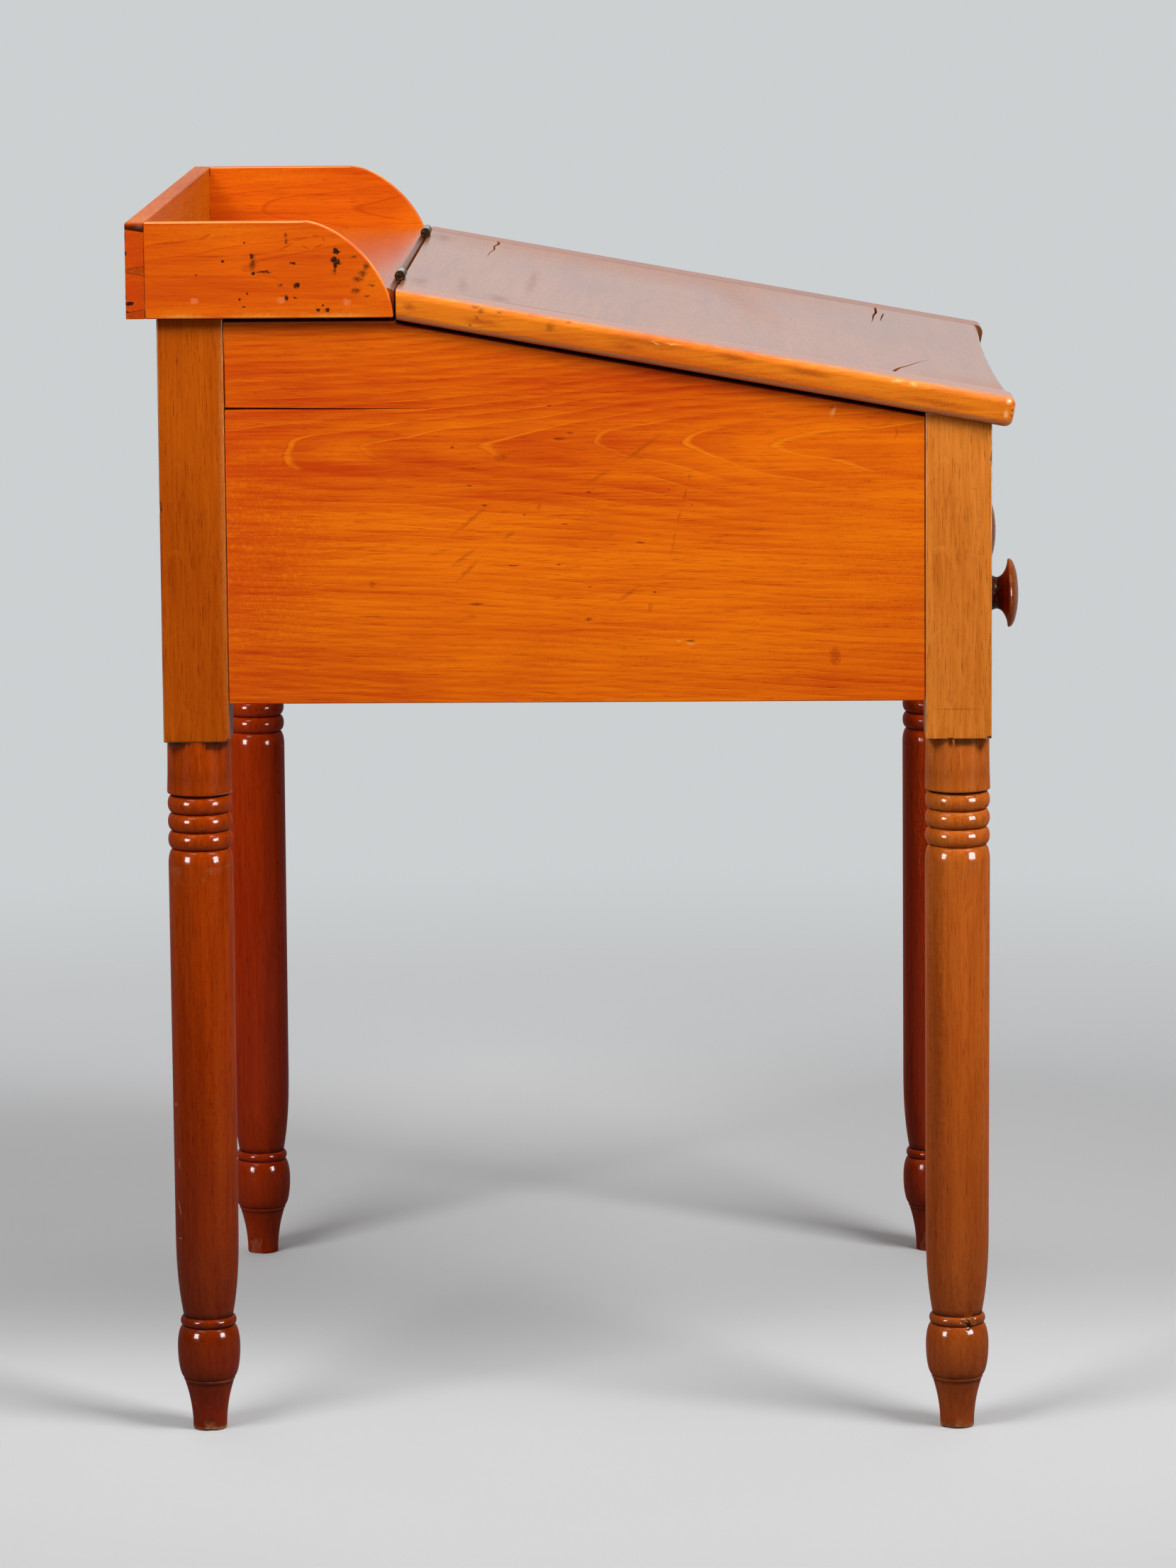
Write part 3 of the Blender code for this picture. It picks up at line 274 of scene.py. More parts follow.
def wooden(name, grain, heart, pale, deep, fleck, line, bare=(0.72, 0.34, 0.08), ring=0.0034, figure=0.5,
           flecks=0.5, gloss=0.32, crackle=0.15, specular=0.08, coat=0.08, coat_roughness=0.22, bump=0.35):
    """A finish of shellac on wood. The heart is a point on the middle line of the tree."""
    material = bpy.data.materials.new(name)
    material.use_nodes = True
    tree = material.node_tree
    moved = combine(tree, "SUBTRACT", put(tree, "TexCoord").outputs["Object"], heart)
    lengthwise = put(tree, "Mapping", {"Vector": moved, "Rotation": grain}).outputs[0]
    wood = tree.nodes.new("ShaderNodeGroup")
    wood.node_tree = shellac_wood
    for socket, value in (("Pale", pale), ("Deep", deep), ("Fleck", fleck), ("Line", line), ("Bare", bare)):
        wood.inputs[socket].default_value = (*value, 1)
    amounts = {"Ring Spacing": ring, "Figure": figure, "Flecks": flecks, "Gloss": gloss, "Crackle": crackle}
    for socket, value in amounts.items():
        wood.inputs[socket].default_value = value
    tree.links.new(lengthwise, wood.inputs["Vector"])
    for socket in ("Worn", "Grime_And_Shade"):
        mask = put(tree, "Attribute", attribute_name=socket.lower())
        tree.links.new(mask.outputs["Fac"], wood.inputs[socket])
    shader = tree.nodes["Principled BSDF"]
    tree.links.new(wood.outputs["Color"], shader.inputs["Base Color"])
    tree.links.new(wood.outputs["Roughness"], shader.inputs["Roughness"])
    relief = put(tree, "Bump", {"Height": wood.outputs["Height"], "Strength": bump, "Distance": 0.0006})
    tree.links.new(relief.outputs[0], shader.inputs["Normal"])
    shader.inputs["Specular IOR Level"].default_value = specular
    shader.inputs["Coat Weight"].default_value = coat
    shader.inputs["Coat Roughness"].default_value = coat_roughness
    return material


def stain(material, spots, colour, strength=1.0, wobble=0.004, soft=0.0, sink=0.0, dull=0.0):
    """Colour some spots, each a centre, reaches and perhaps a turn; besides stains and wear, some are
    painted shade and highlights. Dents sink; soiling dulls the polish.
    """
    tree = material.node_tree
    shader = tree.nodes["Principled BSDF"]
    place = put(tree, "TexCoord").outputs["Object"]
    shake = put(tree, "TexNoise", {"Vector": place, "Scale": 260.0, "Detail": 3.0}).outputs["Color"]
    shake = combine(tree, "SUBTRACT", shake, (0.5, 0.5, 0.5))
    shake = put(tree, "VectorMath", {0: shake, "Scale": wobble}, operation="SCALE").outputs[0]
    place = combine(tree, "ADD", place, shake)
    mask = 0.0
    for centre, reaches, *turn in spots:
        inputs = {"Vector": place, "Location": centre, "Scale": reaches}
        inputs["Rotation"] = turn[0] if turn else (0, 0, 0)
        local = put(tree, "Mapping", inputs, vector_type="TEXTURE").outputs[0]
        reach = put(tree, "VectorMath", {0: local}, operation="LENGTH").outputs["Value"]
        mask = reckon(tree, "MAXIMUM", ramp(tree, reach, soft, 1.0, 1.0, 0.0), mask)
    patchy = put(tree, "TexNoise", {"Vector": place, "Scale": 700.0, "Detail": 2.0}).outputs[0]
    mask = reckon(tree, "MULTIPLY", mask, ramp(tree, patchy, 0.3, 0.6, 0.55, 1.0))
    before = shader.inputs["Base Color"].links[0].from_socket
    after = blend(tree, reckon(tree, "MULTIPLY", mask, strength), before, (*colour, 1))
    tree.links.new(after, shader.inputs["Base Color"])
    if sink:
        relief = shader.inputs["Normal"].links[0].from_node
        height = relief.inputs["Height"].links[0].from_socket
        tree.links.new(reckon(tree, "MULTIPLY_ADD", mask, -sink, height), relief.inputs["Height"])
    if dull:
        polish = shader.inputs["Coat Weight"]
        before = polish.links[0].from_socket if polish.links else polish.default_value
        left = reckon(tree, "MULTIPLY", before, reckon(tree, "MULTIPLY_ADD", mask, -dull, 1.0))
        tree.links.new(left, polish)


def tone_and_shade_downwards(material, rows):
    """Darken a finish towards the floor, partly its own darker tone and partly painted shade, from rows of
    (height, red, green, blue) shares, lowest first.
    """
    tree = material.node_tree
    shader = tree.nodes["Principled BSDF"]
    height = put(tree, "SeparateXYZ", {0: put(tree, "TexCoord").outputs["Object"]}).outputs[2]
    share = (*rows[0][1:], 1)
    for below, above in zip(rows, rows[1:]):
        share = blend(tree, ramp(tree, height, below[0], above[0], kind="LINEAR"), share, (*above[1:], 1))
    before = shader.inputs["Base Color"].links[0].from_socket
    tree.links.new(blend(tree, 1.0, before, share, "MULTIPLY"), shader.inputs["Base Color"])


def tenths(*rows):
    """Rows of measures, from tenths of a millimetre."""
    return [[measure / 10000 for measure in row] for row in rows]


def flat_spots(x, rows):
    """Spots on a face across the desk, from rows of (y, z, reach along y, reach along z)."""
    return [((x, y, z), (0.005, along, up)) for y, z, along, up in rows]


def strokes(x, width, rows):
    """Long thin spots on a face across the desk, from rows of end points (y, z, y, z)."""
    spots = []
    for y, z, next_y, next_z in rows:
        length = math.hypot(next_y - y, next_z - z)
        turn = math.atan2(next_z - z, next_y - y)
        spots.append(((x, (y + next_y) / 2, (z + next_z) / 2), (0.005, length / 2, width), (turn, 0, 0)))
    return spots


def alone(piece):
    """Select one piece and nothing else."""
    bpy.ops.object.select_all(action="DESELECT")
    piece.select_set(True)
    bpy.context.view_layer.objects.active = piece


def open_mesh(piece, pick="SELECT", kind="VERT"):
    """Open a piece's mesh on the bench, with all of it or none of it picked."""
    alone(piece)
    bpy.ops.object.mode_set(mode="EDIT")
    bpy.ops.mesh.select_mode(type=kind)
    bpy.ops.mesh.select_all(action=pick)


def bench_copy(node):
    """Take a copy of a solid to work on, with its triangles joined up into flat faces."""
    piece = bpy.data.objects.new(node + "_finished", frame["nodes"][node].data.copy())
    scene.collection.objects.link(piece)
    piece.data.materials.clear()
    open_mesh(piece)
    bpy.ops.mesh.remove_doubles(threshold=0.00001)
    bpy.ops.mesh.dissolve_limited(angle_limit=0.01)
    bpy.ops.object.mode_set(mode="OBJECT")
    return piece


def ease(piece, width, wanted, steps=3, spared=lambda middle: False):
    """Round the outer corners whose ends both pass a test, and whose middle isn't spared."""
    open_mesh(piece, "DESELECT", "EDGE")
    least_turn = 0.4
    net = bmesh.from_edit_mesh(piece.data)
    for edge in net.edges:
        first, last = edge.verts
        corner = edge.is_manifold and edge.calc_face_angle_signed() > least_turn
        corner = corner and not spared((first.co + last.co) / 2)
        edge.select = corner and wanted(first.co) and wanted(last.co)
    bmesh.update_edit_mesh(piece.data)
    bpy.ops.mesh.bevel(offset=width, segments=steps, affect="EDGES", clamp_overlap=True)
    bpy.ops.object.mode_set(mode="OBJECT")
    return piece


def cut(piece, tool, operation="DIFFERENCE"):
    """Cut a piece with a tool, or join the tool to it."""
    alone(piece)
    step = piece.modifiers.new("joint", "BOOLEAN")
    step.operation = operation
    step.object = tool
    bpy.ops.object.modifier_apply(modifier=step.name)
    bpy.data.objects.remove(tool)
    return piece


def halve(piece, point, normal):
    """Saw off what lies beyond a plane, and close the cut."""
    open_mesh(piece)
    bpy.ops.mesh.bisect(plane_co=point, plane_no=normal, use_fill=True, clear_outer=True, threshold=0.000001)
    bpy.ops.object.mode_set(mode="OBJECT")
    return piece


def nick(piece, centre, size, seed):
    """Break a small ragged lump out of an edge."""
    bpy.ops.mesh.primitive_ico_sphere_add(subdivisions=3, radius=1)
    lump = bpy.context.object
    for vert in lump.data.vertices:
        vert.co *= 1 + 0.4 * noise.noise(vert.co * 1.7 + Vector((seed, 0, 0)))
    lump.scale = size
    cut(piece, move(lump, centre))


def draw(name, points):
    """Draw a line from point to point, and leave it picked on the bench."""
    bpy.ops.mesh.primitive_plane_add(size=0.001)
    piece = bpy.context.object
    piece.name = name
    open_mesh(piece)
    bpy.ops.mesh.merge(type="CENTER")
    bpy.ops.transform.translate(value=points[0])
    for start, end in zip(points, points[1:]):
        step = [b - a for a, b in zip(start, end)]
        bpy.ops.mesh.extrude_region_move(TRANSFORM_OT_translate={"value": step})
    bpy.ops.mesh.select_all(action="SELECT")
    return piece


def drawn(piece):
    """Turn the faces of a new shape outwards, and take it off the bench."""
    bpy.ops.mesh.select_all(action="SELECT")
    bpy.ops.mesh.normals_make_consistent(inside=False)
    bpy.ops.object.mode_set(mode="OBJECT")
    return piece


def turned(name, profile, sides=96):
    """Turn a profile of (radius, height) points round an upright axis, as on a lathe."""
    piece = draw(name, [(radius, 0, height) for radius, height in profile])
    bpy.ops.mesh.spin(steps=sides, angle=2 * math.pi, center=(0, 0, 0), axis=(0, 0, 1))
    bpy.ops.mesh.select_all(action="SELECT")
    bpy.ops.mesh.remove_doubles(threshold=0.00001)
    return drawn(piece)


def move(piece, shift=(0, 0, 0), turn=(0, 0, 0)):
    """Turn a piece about the origin, shift it, and put its place in its mesh."""
    piece.rotation_euler = turn
    piece.location = shift
    alone(piece)
    bpy.ops.object.transform_apply(location=True, rotation=True, scale=True)
    return piece


def mark_wear(piece, ridge=0.00025, broad=0.0001):
    """Mark ridges that hands rub bare, and hollows darkened for soil and as painted shade, by how the
    surface bends.
    """
    net = bmesh.new()
    net.from_mesh(piece.data)
    net.normal_update()
    worn, grime_and_shade = [], []
    for vert in net.verts:
        bend = 0.0
        if vert.link_edges and all(face.calc_area() < broad for face in vert.link_faces):
            around = [edge.other_vert(vert).co for edge in vert.link_edges]
            bend = (vert.co - sum(around, Vector()) / len(around)).dot(vert.normal) / ridge
        patch = 0.5 + 0.9 * noise.noise(vert.co * 34.0)
        worn.append(min(max(bend * patch, 0.0), 1.0))
        grime_and_shade.append(min(max(-bend * 1.4, 0.0), 1.0))
    net.free()
    for name, values in (("worn", worn), ("grime_and_shade", grime_and_shade)):
        mask = piece.data.attributes.get(name) or piece.data.attributes.new(name, "FLOAT", "POINT")
        mask.data.foreach_set("value", values)


def chip(piece, centre, size, depth, seed):
    """Break a ragged flake off a surface, and mark the wood that it leaves bare."""
    centre = Vector(centre)
    worn = piece.data.attributes["worn"].data
    grime_and_shade = piece.data.attributes["grime_and_shade"].data
    for vert in piece.data.vertices:
        away = vert.co - centre
        reach = Vector((away.x / size[0], away.y / size[1], away.z / size[2])).length
        reach += 0.55 * noise.noise(vert.co * 260.0 + Vector((seed, 0, 0)))
        if reach < 1.0:
            vert.co -= vert.normal * depth * min(1.0, 2.2 * (1.0 - reach))
            worn[vert.index].value = 0.7
            grime_and_shade[vert.index].value = 0.0


def fit(piece, node, material):
    """Give a piece its finish, and set it in the place of its node."""
    piece.data.materials.append(material)
    alone(piece)
    bpy.ops.object.shade_smooth_by_angle(angle=math.radians(32))
    flats = piece.modifiers.new("flats", "WEIGHTED_NORMAL")
    flats.keep_sharp = True
    bpy.ops.object.modifier_apply(modifier=flats.name)
    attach(piece, frame["nodes"][node]["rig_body"])
    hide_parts(node)
    pieces.objects.link(piece)


def at_faces(node, axis):
    """A test for the points on the two faces of a solid that lie across an axis."""
    low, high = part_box(node)
    return lambda p: min(abs(p[axis] - low[axis]), abs(p[axis] - high[axis])) < touch


def bead(top, low, root, crest, steps=14):
    """Points down a half-round, without its two roots."""
    middle, half = (top + low) / 2, (top - low) / 2
    turns = [math.pi * k / steps for k in range(1, steps)]
    return [(root + (crest - root) * math.sin(t), middle + half * math.cos(t)) for t in turns]


def leg_profile():
    """The turned length of a leg, from inside its square down to the floor."""
    inside = 0.552
    points = [(0, inside), (0.0242, inside), (0.0242, shoulder)]
    points += [(0.02425, 0.533), (0.0243, 0.524), (0.0245, 0.512), (0.0249, 0.5015), (0.0249, 0.4996)]
    points += [(0.0246, 0.499), (0.0214, 0.4983)]
    top, pitch, root, crest, quirk = 0.49775, 0.0139, 0.0209, 0.0247, 0.0003
    for _ in range(3):
        points.append((root, top))
        points += bead(top - quirk, top - pitch + quirk, root + 0.0004, crest)
        top -= pitch
    points.append((root, top))
    shaft, shaft_end, shaft_top, shaft_low, cove = 0.0248, 0.0243, 0.444, 0.165, 0.012
    for k in range(1, 13):
        turn = math.pi / 2 * k / 12
        points.append((root + (shaft - root) * math.sin(turn), top - cove * (1 - math.cos(turn))))
    for k in range(1, 9):
        points.append((shaft - 0.0005 * k / 8, shaft_top - (shaft_top - shaft_low) * k / 8))
    ring_top, ring_low, ring, neck = 0.08955, 0.08205, 0.0216, 0.019
    for k in range(1, 15):
        share = k / 14
        radius = shaft_end - (shaft_end - neck) * share ** 2.75
        points.append((radius, shaft_low - (shaft_low - ring_top) * share))
    points += bead(ring_top, ring_low, neck, ring)
    bulb_end, bulb_foot, bulb, bulb_z, fillet = 0.0196, 0.019, 0.0242, 0.0647, 0.0408
    points += [(neck, ring_low), (bulb_end - quirk, ring_low - 0.0005)]
    for k in range(1, 11):
        turn = math.pi / 2 * k / 10
        height = ring_low - (ring_low - bulb_z) * (1 - math.cos(turn))
        points.append((bulb_end + (bulb - bulb_end) * math.sin(turn), height))
    for k in range(1, 13):
        turn = math.pi / 2 * k / 12
        height = bulb_z - (bulb_z - fillet) * math.sin(turn)
        points.append((bulb_foot + (bulb - bulb_foot) * math.cos(turn), height))
    points += [(0.0195, 0.0407), (0.0198, 0.0404), (0.0197, 0.0394), (0.0193, 0.0386), (0.0188, 0.0379)]
    for k in range(1, 15):
        share = 1 - k / 15
        points.append((0.013 + 0.006 * share ** 2.1, 0.0381 * share))
    points += [(0.013, 0.0012), (0.0127, 0.0004), (0.0122, 0.0), (0.006, 0.0), (0, 0)]
    return points


shoulder = 0.5406
saw_line = shoulder + 0.002
turning = turned("leg_turning", leg_profile())
leg_brown = ((0.52, 0.096, 0.003), (0.33, 0.043, 0.001), (0.12, 0.013, 0.001), (0.56, 0.12, 0.006))
leg_faded = ((0.72, 0.215, 0.03), (0.48, 0.105, 0.008), (0.2, 0.032, 0.002), (0.76, 0.26, 0.04))
leg_lighter = ((0.56, 0.11, 0.004), (0.36, 0.05, 0.001), (0.13, 0.015, 0.001), (0.6, 0.13, 0.006))
leg_looks = {
    "leg_back_left": leg_brown, "leg_front_left": leg_faded,
    "leg_back_right": leg_brown, "leg_front_right": leg_lighter,
}
# Shares by height: the turned part's own darker tone below the shoulder, and painted shade growing towards
# the floor; the right legs' rows are darker still, with painted shade.
downward_tone_and_shade = {
    "leg_back_left": ((0.0, 0.62, 0.28, 0.4), (0.1, 0.5, 0.3, 0.4), (0.3, 0.76, 0.44, 0.5),
                      (0.5, 0.88, 0.6, 0.6), (0.5398, 0.92, 0.65, 0.7), (0.5408, 1.0, 1.0, 1.0)),
    "leg_front_left": ((0.0, 0.66, 0.42, 0.4), (0.1, 0.66, 0.47, 0.4), (0.3, 0.86, 0.62, 0.5),
                       (0.5, 0.9, 0.72, 0.6), (0.5398, 0.92, 0.76, 0.7), (0.5408, 1.09, 1.12, 1.0)),
    "leg_back_right": ((0.0, 0.9, 0.42, 0.6), (0.3, 1.08, 0.42, 0.6), (0.5398, 1.08, 0.54, 0.7),
                       (0.5408, 1.0, 1.0, 1.0)),
    "leg_front_right": ((0.0, 0.86, 0.38, 0.5), (0.3, 0.95, 0.38, 0.5), (0.5398, 0.98, 0.48, 0.7),
                        (0.5408, 1.0, 1.0, 1.0)),
}
scratches = tenths(
    (3133, 2560, 3120, 2600), (3110, 2183, 3094, 2033), (3125, 1855, 3080, 1644), (3120, 1790, 3098, 1760),
    (3130, 1527, 3082, 1535), (3082, 1535, 3003, 1495),
)
chips = {
    "leg_front_left": (((-0.0194, -0.0094, 0.0868), (0.007, 0.0062, 0.004), 0.0022, 3),
                       ((-0.01, 0.008, 0.0), (0.005, 0.006, 0.0025), 0.0012, 8),
                       ((-0.0128, -0.001, 0.0), (0.005, 0.009, 0.0016), 0.0006, 4)),
    "leg_back_left": (((-0.0128, -0.0024, 0.003), (0.006, 0.0045, 0.0065), 0.0014, 5),
                      ((-0.0128, 0.001, 0.0), (0.005, 0.01, 0.0014), 0.0006, 7)),
    "leg_back_right": (((-0.011, 0.005, 0.004), (0.007, 0.006, 0.011), 0.001, 13),),
    "leg_front_right": (((-0.011, 0.005, 0.004), (0.007, 0.006, 0.011), 0.001, 14),),
}
dirt_and_shade = (0.012, 0.003, 0.001)
fine_stroke = 0.0005
for count, (node, colours) in enumerate(leg_looks.items()):
    low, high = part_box(node)
    middle = Vector(((low.x + high.x) / 2, (low.y + high.y) / 2, 0))
    post = halve(bench_copy(node), (0, 0, saw_line), (0, 0, -1))
    for vert in post.data.vertices:
        vert.co.z = shoulder if vert.co.z < saw_line + 0.0001 else vert.co.z
    on_x, on_y = at_faces(node, 0), at_faces(node, 1)
    ease(post, 0.0013, lambda p: on_x(p) and on_y(p), 4)
    lower = bpy.data.objects.new("lower", turning.data.copy())
    scene.collection.objects.link(lower)
    move(lower, middle, (0, 0, 0.7 * count))
    cut(post, lower, "UNION")
    if node == "leg_back_left":
        nick(post, (low.x + 0.0002, high.y + 0.0006, 0.719), (0.003, 0.0034, 0.0075), 2)
        nick(post, (low.x + 0.0002, low.y - 0.0004, shoulder), (0.0026, 0.004, 0.003), 6)
    elif node == "leg_front_left":
        nick(post, (low.x, low.y - 0.0004, shoulder + 0.0005), (0.0022, 0.005, 0.0016), 3)
        nick(post, (low.x, low.y - 0.0006, 0.7545), (0.0022, 0.0022, 0.0065), 9)
        nick(post, (low.x - 0.0004, low.y + 0.031, shoulder), (0.0018, 0.0035, 0.0012), 5)
        nick(post, middle + Vector((-0.0212, -0.008, 0.0842)), (0.0028, 0.0026, 0.0042), 7)
    mark_wear(post)
    for place, size, depth, seed in chips[node]:
        chip(post, middle + Vector(place), size, depth, seed)
    finish = wooden("shellac_" + node, along_z, tuple(middle + Vector((0.018, 0.012, 0))), *colours,
                    bare=(0.5, 0.22, 0.07), ring=0.0042, figure=0.35, flecks=0.7, gloss=0.13, crackle=1.0,
                    specular=0.0, coat=0.15, coat_roughness=0.12, bump=0.45)
    tone_and_shade_downwards(finish, downward_tone_and_shade[node])
    if node.endswith("left"):
        # Painted shadow: dark arcs on the collar under the overhanging corners of the square post.
        corners = [((middle.x - 0.0175, middle.y + y, shoulder), (0.0065, 0.0062, 0.0022))
                   for y in (-0.0146, 0.0156)]
        stain(finish, corners, dirt_and_shade, 0.95, wobble=0.0008, soft=0.3, dull=0.8)
        # Painted shade in the crease under the bulb.
        shade_under_bulb = [((*middle.xy, 0.0413), (0.03, 0.03, 0.0007))]
        stain(finish, shade_under_bulb, dirt_and_shade, 0.9, wobble=0.0002, soft=0.3)
        # Painted highlight along the top edge of the ledge below the bulb.
        ledge_highlight = [((*middle.xy, 0.0404), (0.03, 0.03, 0.0005))]
        stain(finish, ledge_highlight, (0.6, 0.25, 0.06), 0.6, wobble=0.0004, soft=0.2)
        scuffed = [(tuple(middle), (0.03, 0.03, 0.0042))]
        stain(finish, scuffed, (0.74, 0.42, 0.2), 0.9, wobble=0.008, soft=0.1)
        rough_patch = flat_spots(middle.x - 0.013, [(middle.y - 0.0005, 0.004, 0.0052, 0.0078)])
        stain(finish, rough_patch, (0.48, 0.19, 0.06), 0.6, wobble=0.01, dull=1.0)
    if node == "leg_back_left":
        stain(finish, strokes(-0.322, 0.0007, scratches), (0.72, 0.3, 0.1), 0.8, wobble=0.002, soft=0.2)
        # Painted shade down the middle of the shaft, and painted light down its right side.
        painted_shade_band = [((-0.334, 0.2915, 0.25), (0.02, 0.0065, 0.17))]
        stain(finish, painted_shade_band, (0.19, 0.017, 0.001), 0.5, wobble=0.012)
        painted_light_band = [((-0.332, 0.2785, 0.25), (0.02, 0.007, 0.19))]
        stain(finish, painted_light_band, (0.44, 0.066, 0.002), 0.45, wobble=0.012)
        dashes = []
        for k in range(8):
            aside, down = 0.0012 * (k % 3), 0.021 * k
            dashes.append((0.3035 - aside, 0.334 - down, 0.3034 - aside, 0.325 - down))
        stain(finish, strokes(-0.334, fine_stroke, dashes), (0.58, 0.2, 0.04), 0.6)
        pit = flat_spots(-0.334, [(0.2842, 0.26, 0.0014, 0.0009)])
        stain(finish, pit, (0.08, 0.01, 0.001), 0.8, wobble=0.003, soft=0.45, sink=1.5)
        # Down the post's front arris: worn shellac with a painted sheen on it, pale and without polish.
        pale_edge_strip = strokes(low.x, 0.0045, [(low.y + 0.001, shoulder - 0.15, low.y + 0.001, high.z + 0.25)])
        stain(finish, pale_edge_strip, (0.66, 0.24, 0.05), 0.45, dull=1.0)
        shaded = strokes(low.x, 0.007, [(high.y, shoulder, high.y, high.z)])
        stain(finish, shaded, (0.34, 0.04, 0.001), 0.45, wobble=0.006)
    elif node == "leg_front_left":
        # Painted shade down the left side of the shaft.
        painted_shade_side = [((-0.326, -0.27, 0.3), (0.02, 0.01, 0.26))]
        stain(finish, painted_shade_side, (0.2, 0.026, 0.001), 0.6, wobble=0.012, soft=0.1)
        marks = flat_spots(low.x, [(-0.2986, 0.775, 0.003, 0.0032), (-0.3061, 0.769, 0.0016, 0.004)])
        stain(finish, marks, (0.62, 0.2, 0.03), 0.8, wobble=0.003, soft=0.5, sink=0.8)
        scribed = tenths((-2640, 5632, -3120, 5634), (-2975, 7301, -3010, 7324))
        scribed = strokes(low.x, fine_stroke, scribed)
        stain(finish, scribed, (0.2, 0.035, 0.002), 0.65, wobble=0.0015, soft=0.3, sink=0.5)
    fit(post, node, finish)
    turnings.objects.link(post)
bpy.data.objects.remove(turning)

# Side panels: one wide board each side, tongued into the posts, with its grain running front to back.
# Both have shrunk below the lid, and the near one has split along the grain from the back post.
orange = ((0.87, 0.172, 0.001), (0.565, 0.047, 0.001), (0.27, 0.022, 0.001), (0.94, 0.24, 0.004))
scuffs = tenths(
    (1005, 6931, 605, 7265), (980, 6731, 731, 6908), (954, 6593, 712, 6833), (588, 6935, 457, 7017),
    (-52, 7357, -278, 7486), (-278, 7486, -703, 7785), (-257, 6441, -504, 6612), (-537, 6371, -554, 6474),
    (305, 7153, 277, 7229),
)
dotted_arc = tenths(
    (-695, 6780, -750, 7049), (-750, 7049, -789, 7184), (-789, 7184, -833, 7372), (-833, 7372, -860, 7453),
    (-2405, 7660, -2408, 7815),
)
dents = tenths(
    (942, 7644, 20, 14), (704, 7204, 35, 13), (54, 7749, 38, 10), (136, 7704, 65, 17), (-85, 7299, 26, 13),
    (101, 7060, 38, 7), (-472, 6915, 46, 12), (489, 6745, 67, 9), (147, 6750, 22, 10), (-89, 6580, 19, 9),
    (770, 6451, 67, 17), (-78, 6332, 38, 17), (-579, 6536, 20, 12), (787, 7486, 12, 9), (816, 7356, 32, 9),
    (401, 7131, 17, 9), (-693, 7312, 12, 9), (-863, 7199, 12, 9), (210, 7956, 30, 9), (-1934, 7932, 40, 10),
    (-844, 6163, 50, 12),
)
smudges = tenths((574, 7567, 70, 30), (-1942, 6047, 50, 90), (1558, 6613, 40, 30))
pale_spots = tenths((-853, 6141, 65, 10), (-760, 6165, 35, 8))


def block(name, corner, opposite):
    """A squared block between two corners."""
    bpy.ops.mesh.primitive_cube_add(size=1)
    piece = bpy.context.object
    piece.name = name
    piece.scale = [abs(b - a) for a, b in zip(corner, opposite)]
    return move(piece, [(a + b) / 2 for a, b in zip(corner, opposite)])


def outline(name, points, low_x, high_x):
    """Draw a flat shape in Y and Z point by point, and push it out across the desk."""
    piece = draw(name, [(low_x, y, z) for y, z in points])
    bpy.ops.mesh.edge_face_add()
    bpy.ops.mesh.extrude_region_move(TRANSFORM_OT_translate={"value": (high_x - low_x, 0, 0)})
    return drawn(piece)


for side, node in ((-1, "side_panel_left"), (1, "side_panel_right")):
    low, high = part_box(node)
    panel = bench_copy(node)
    ease(panel, 0.0009, at_faces(node, 0))
    if side < 0:
        split = tenths((2750, 7962), (2350, 7958), (1750, 7949), (1090, 7944), (1750, 7939), (2350, 7942),
                       (2750, 7940))
        cut(panel, outline("split", split, low.x - 0.01, low.x + 0.012))
    mark_wear(panel)
    heart = (side * 0.3, 0.044, 0.762)
    finish = wooden("shellac_" + node, along_y, heart, *orange, ring=0.006, figure=0.7, flecks=0.45)
    if side < 0:
        red_zone = flat_spots(low.x, [(0.25, 0.69, 0.1, 0.16)])
        stain(finish, red_zone, (0.56, 0.036, 0.001), 0.5, wobble=0.03)
        amber_zones = flat_spots(low.x, [(-0.23, 0.68, 0.12, 0.13), (-0.06, 0.61, 0.24, 0.022)])
        stain(finish, amber_zones, (0.84, 0.185, 0.001), 0.4, wobble=0.03)
        stain(finish, strokes(low.x, 0.0024, scuffs), (0.28, 0.03, 0.001), 0.5, wobble=0.003)
        stain(finish, strokes(low.x, 0.0012, dotted_arc), (0.2, 0.024, 0.001), 0.5)
        stain(finish, flat_spots(low.x, dents), (0.14, 0.018, 0.001), 0.75, wobble=0.0015, soft=0.2,
              sink=1.6)
        stain(finish, flat_spots(low.x, smudges), (0.36, 0.034, 0.001), 0.6, wobble=0.006, soft=0.45)
        pale_marks = strokes(low.x, 0.0026, [(-0.1957, 0.7967, -0.1905, 0.784)])
        pale_marks += flat_spots(low.x, pale_spots)
        stain(finish, pale_marks, (0.95, 0.42, 0.12), 0.6)
        ends = (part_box("leg_front_left")[1].y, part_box("leg_back_left")[0].y)
        # Painted shadow in the gaps where the panel meets the posts.
        seam_shadows = strokes(low.x, 0.0013, [(y, low.z - 0.05, y, high.z + 0.05) for y in ends])
        stain(finish, seam_shadows, (0.05, 0.008, 0.001), 0.85, wobble=0.001, soft=0.3)
    fit(panel, node, finish)

# Back panel, front board and drawer rail: boards across the desk, tongued or tenoned into the posts.
# They are of the same wood and finish as the side panels, with the grain running across.


def crosswise(node):
    """Shellac for a board that lies across the desk."""
    low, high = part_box(node)
    middle = (low + high) / 2
    return wooden("shellac_" + node, along_x, (0.1, middle.y + 0.03, middle.z - 0.02), *orange)


for node in ("back_panel", "front_board", "drawer_rail"):
    board = ease(bench_copy(node), 0.001, at_faces(node, 1))
    mark_wear(board)
    fit(board, node, crosswise(node))

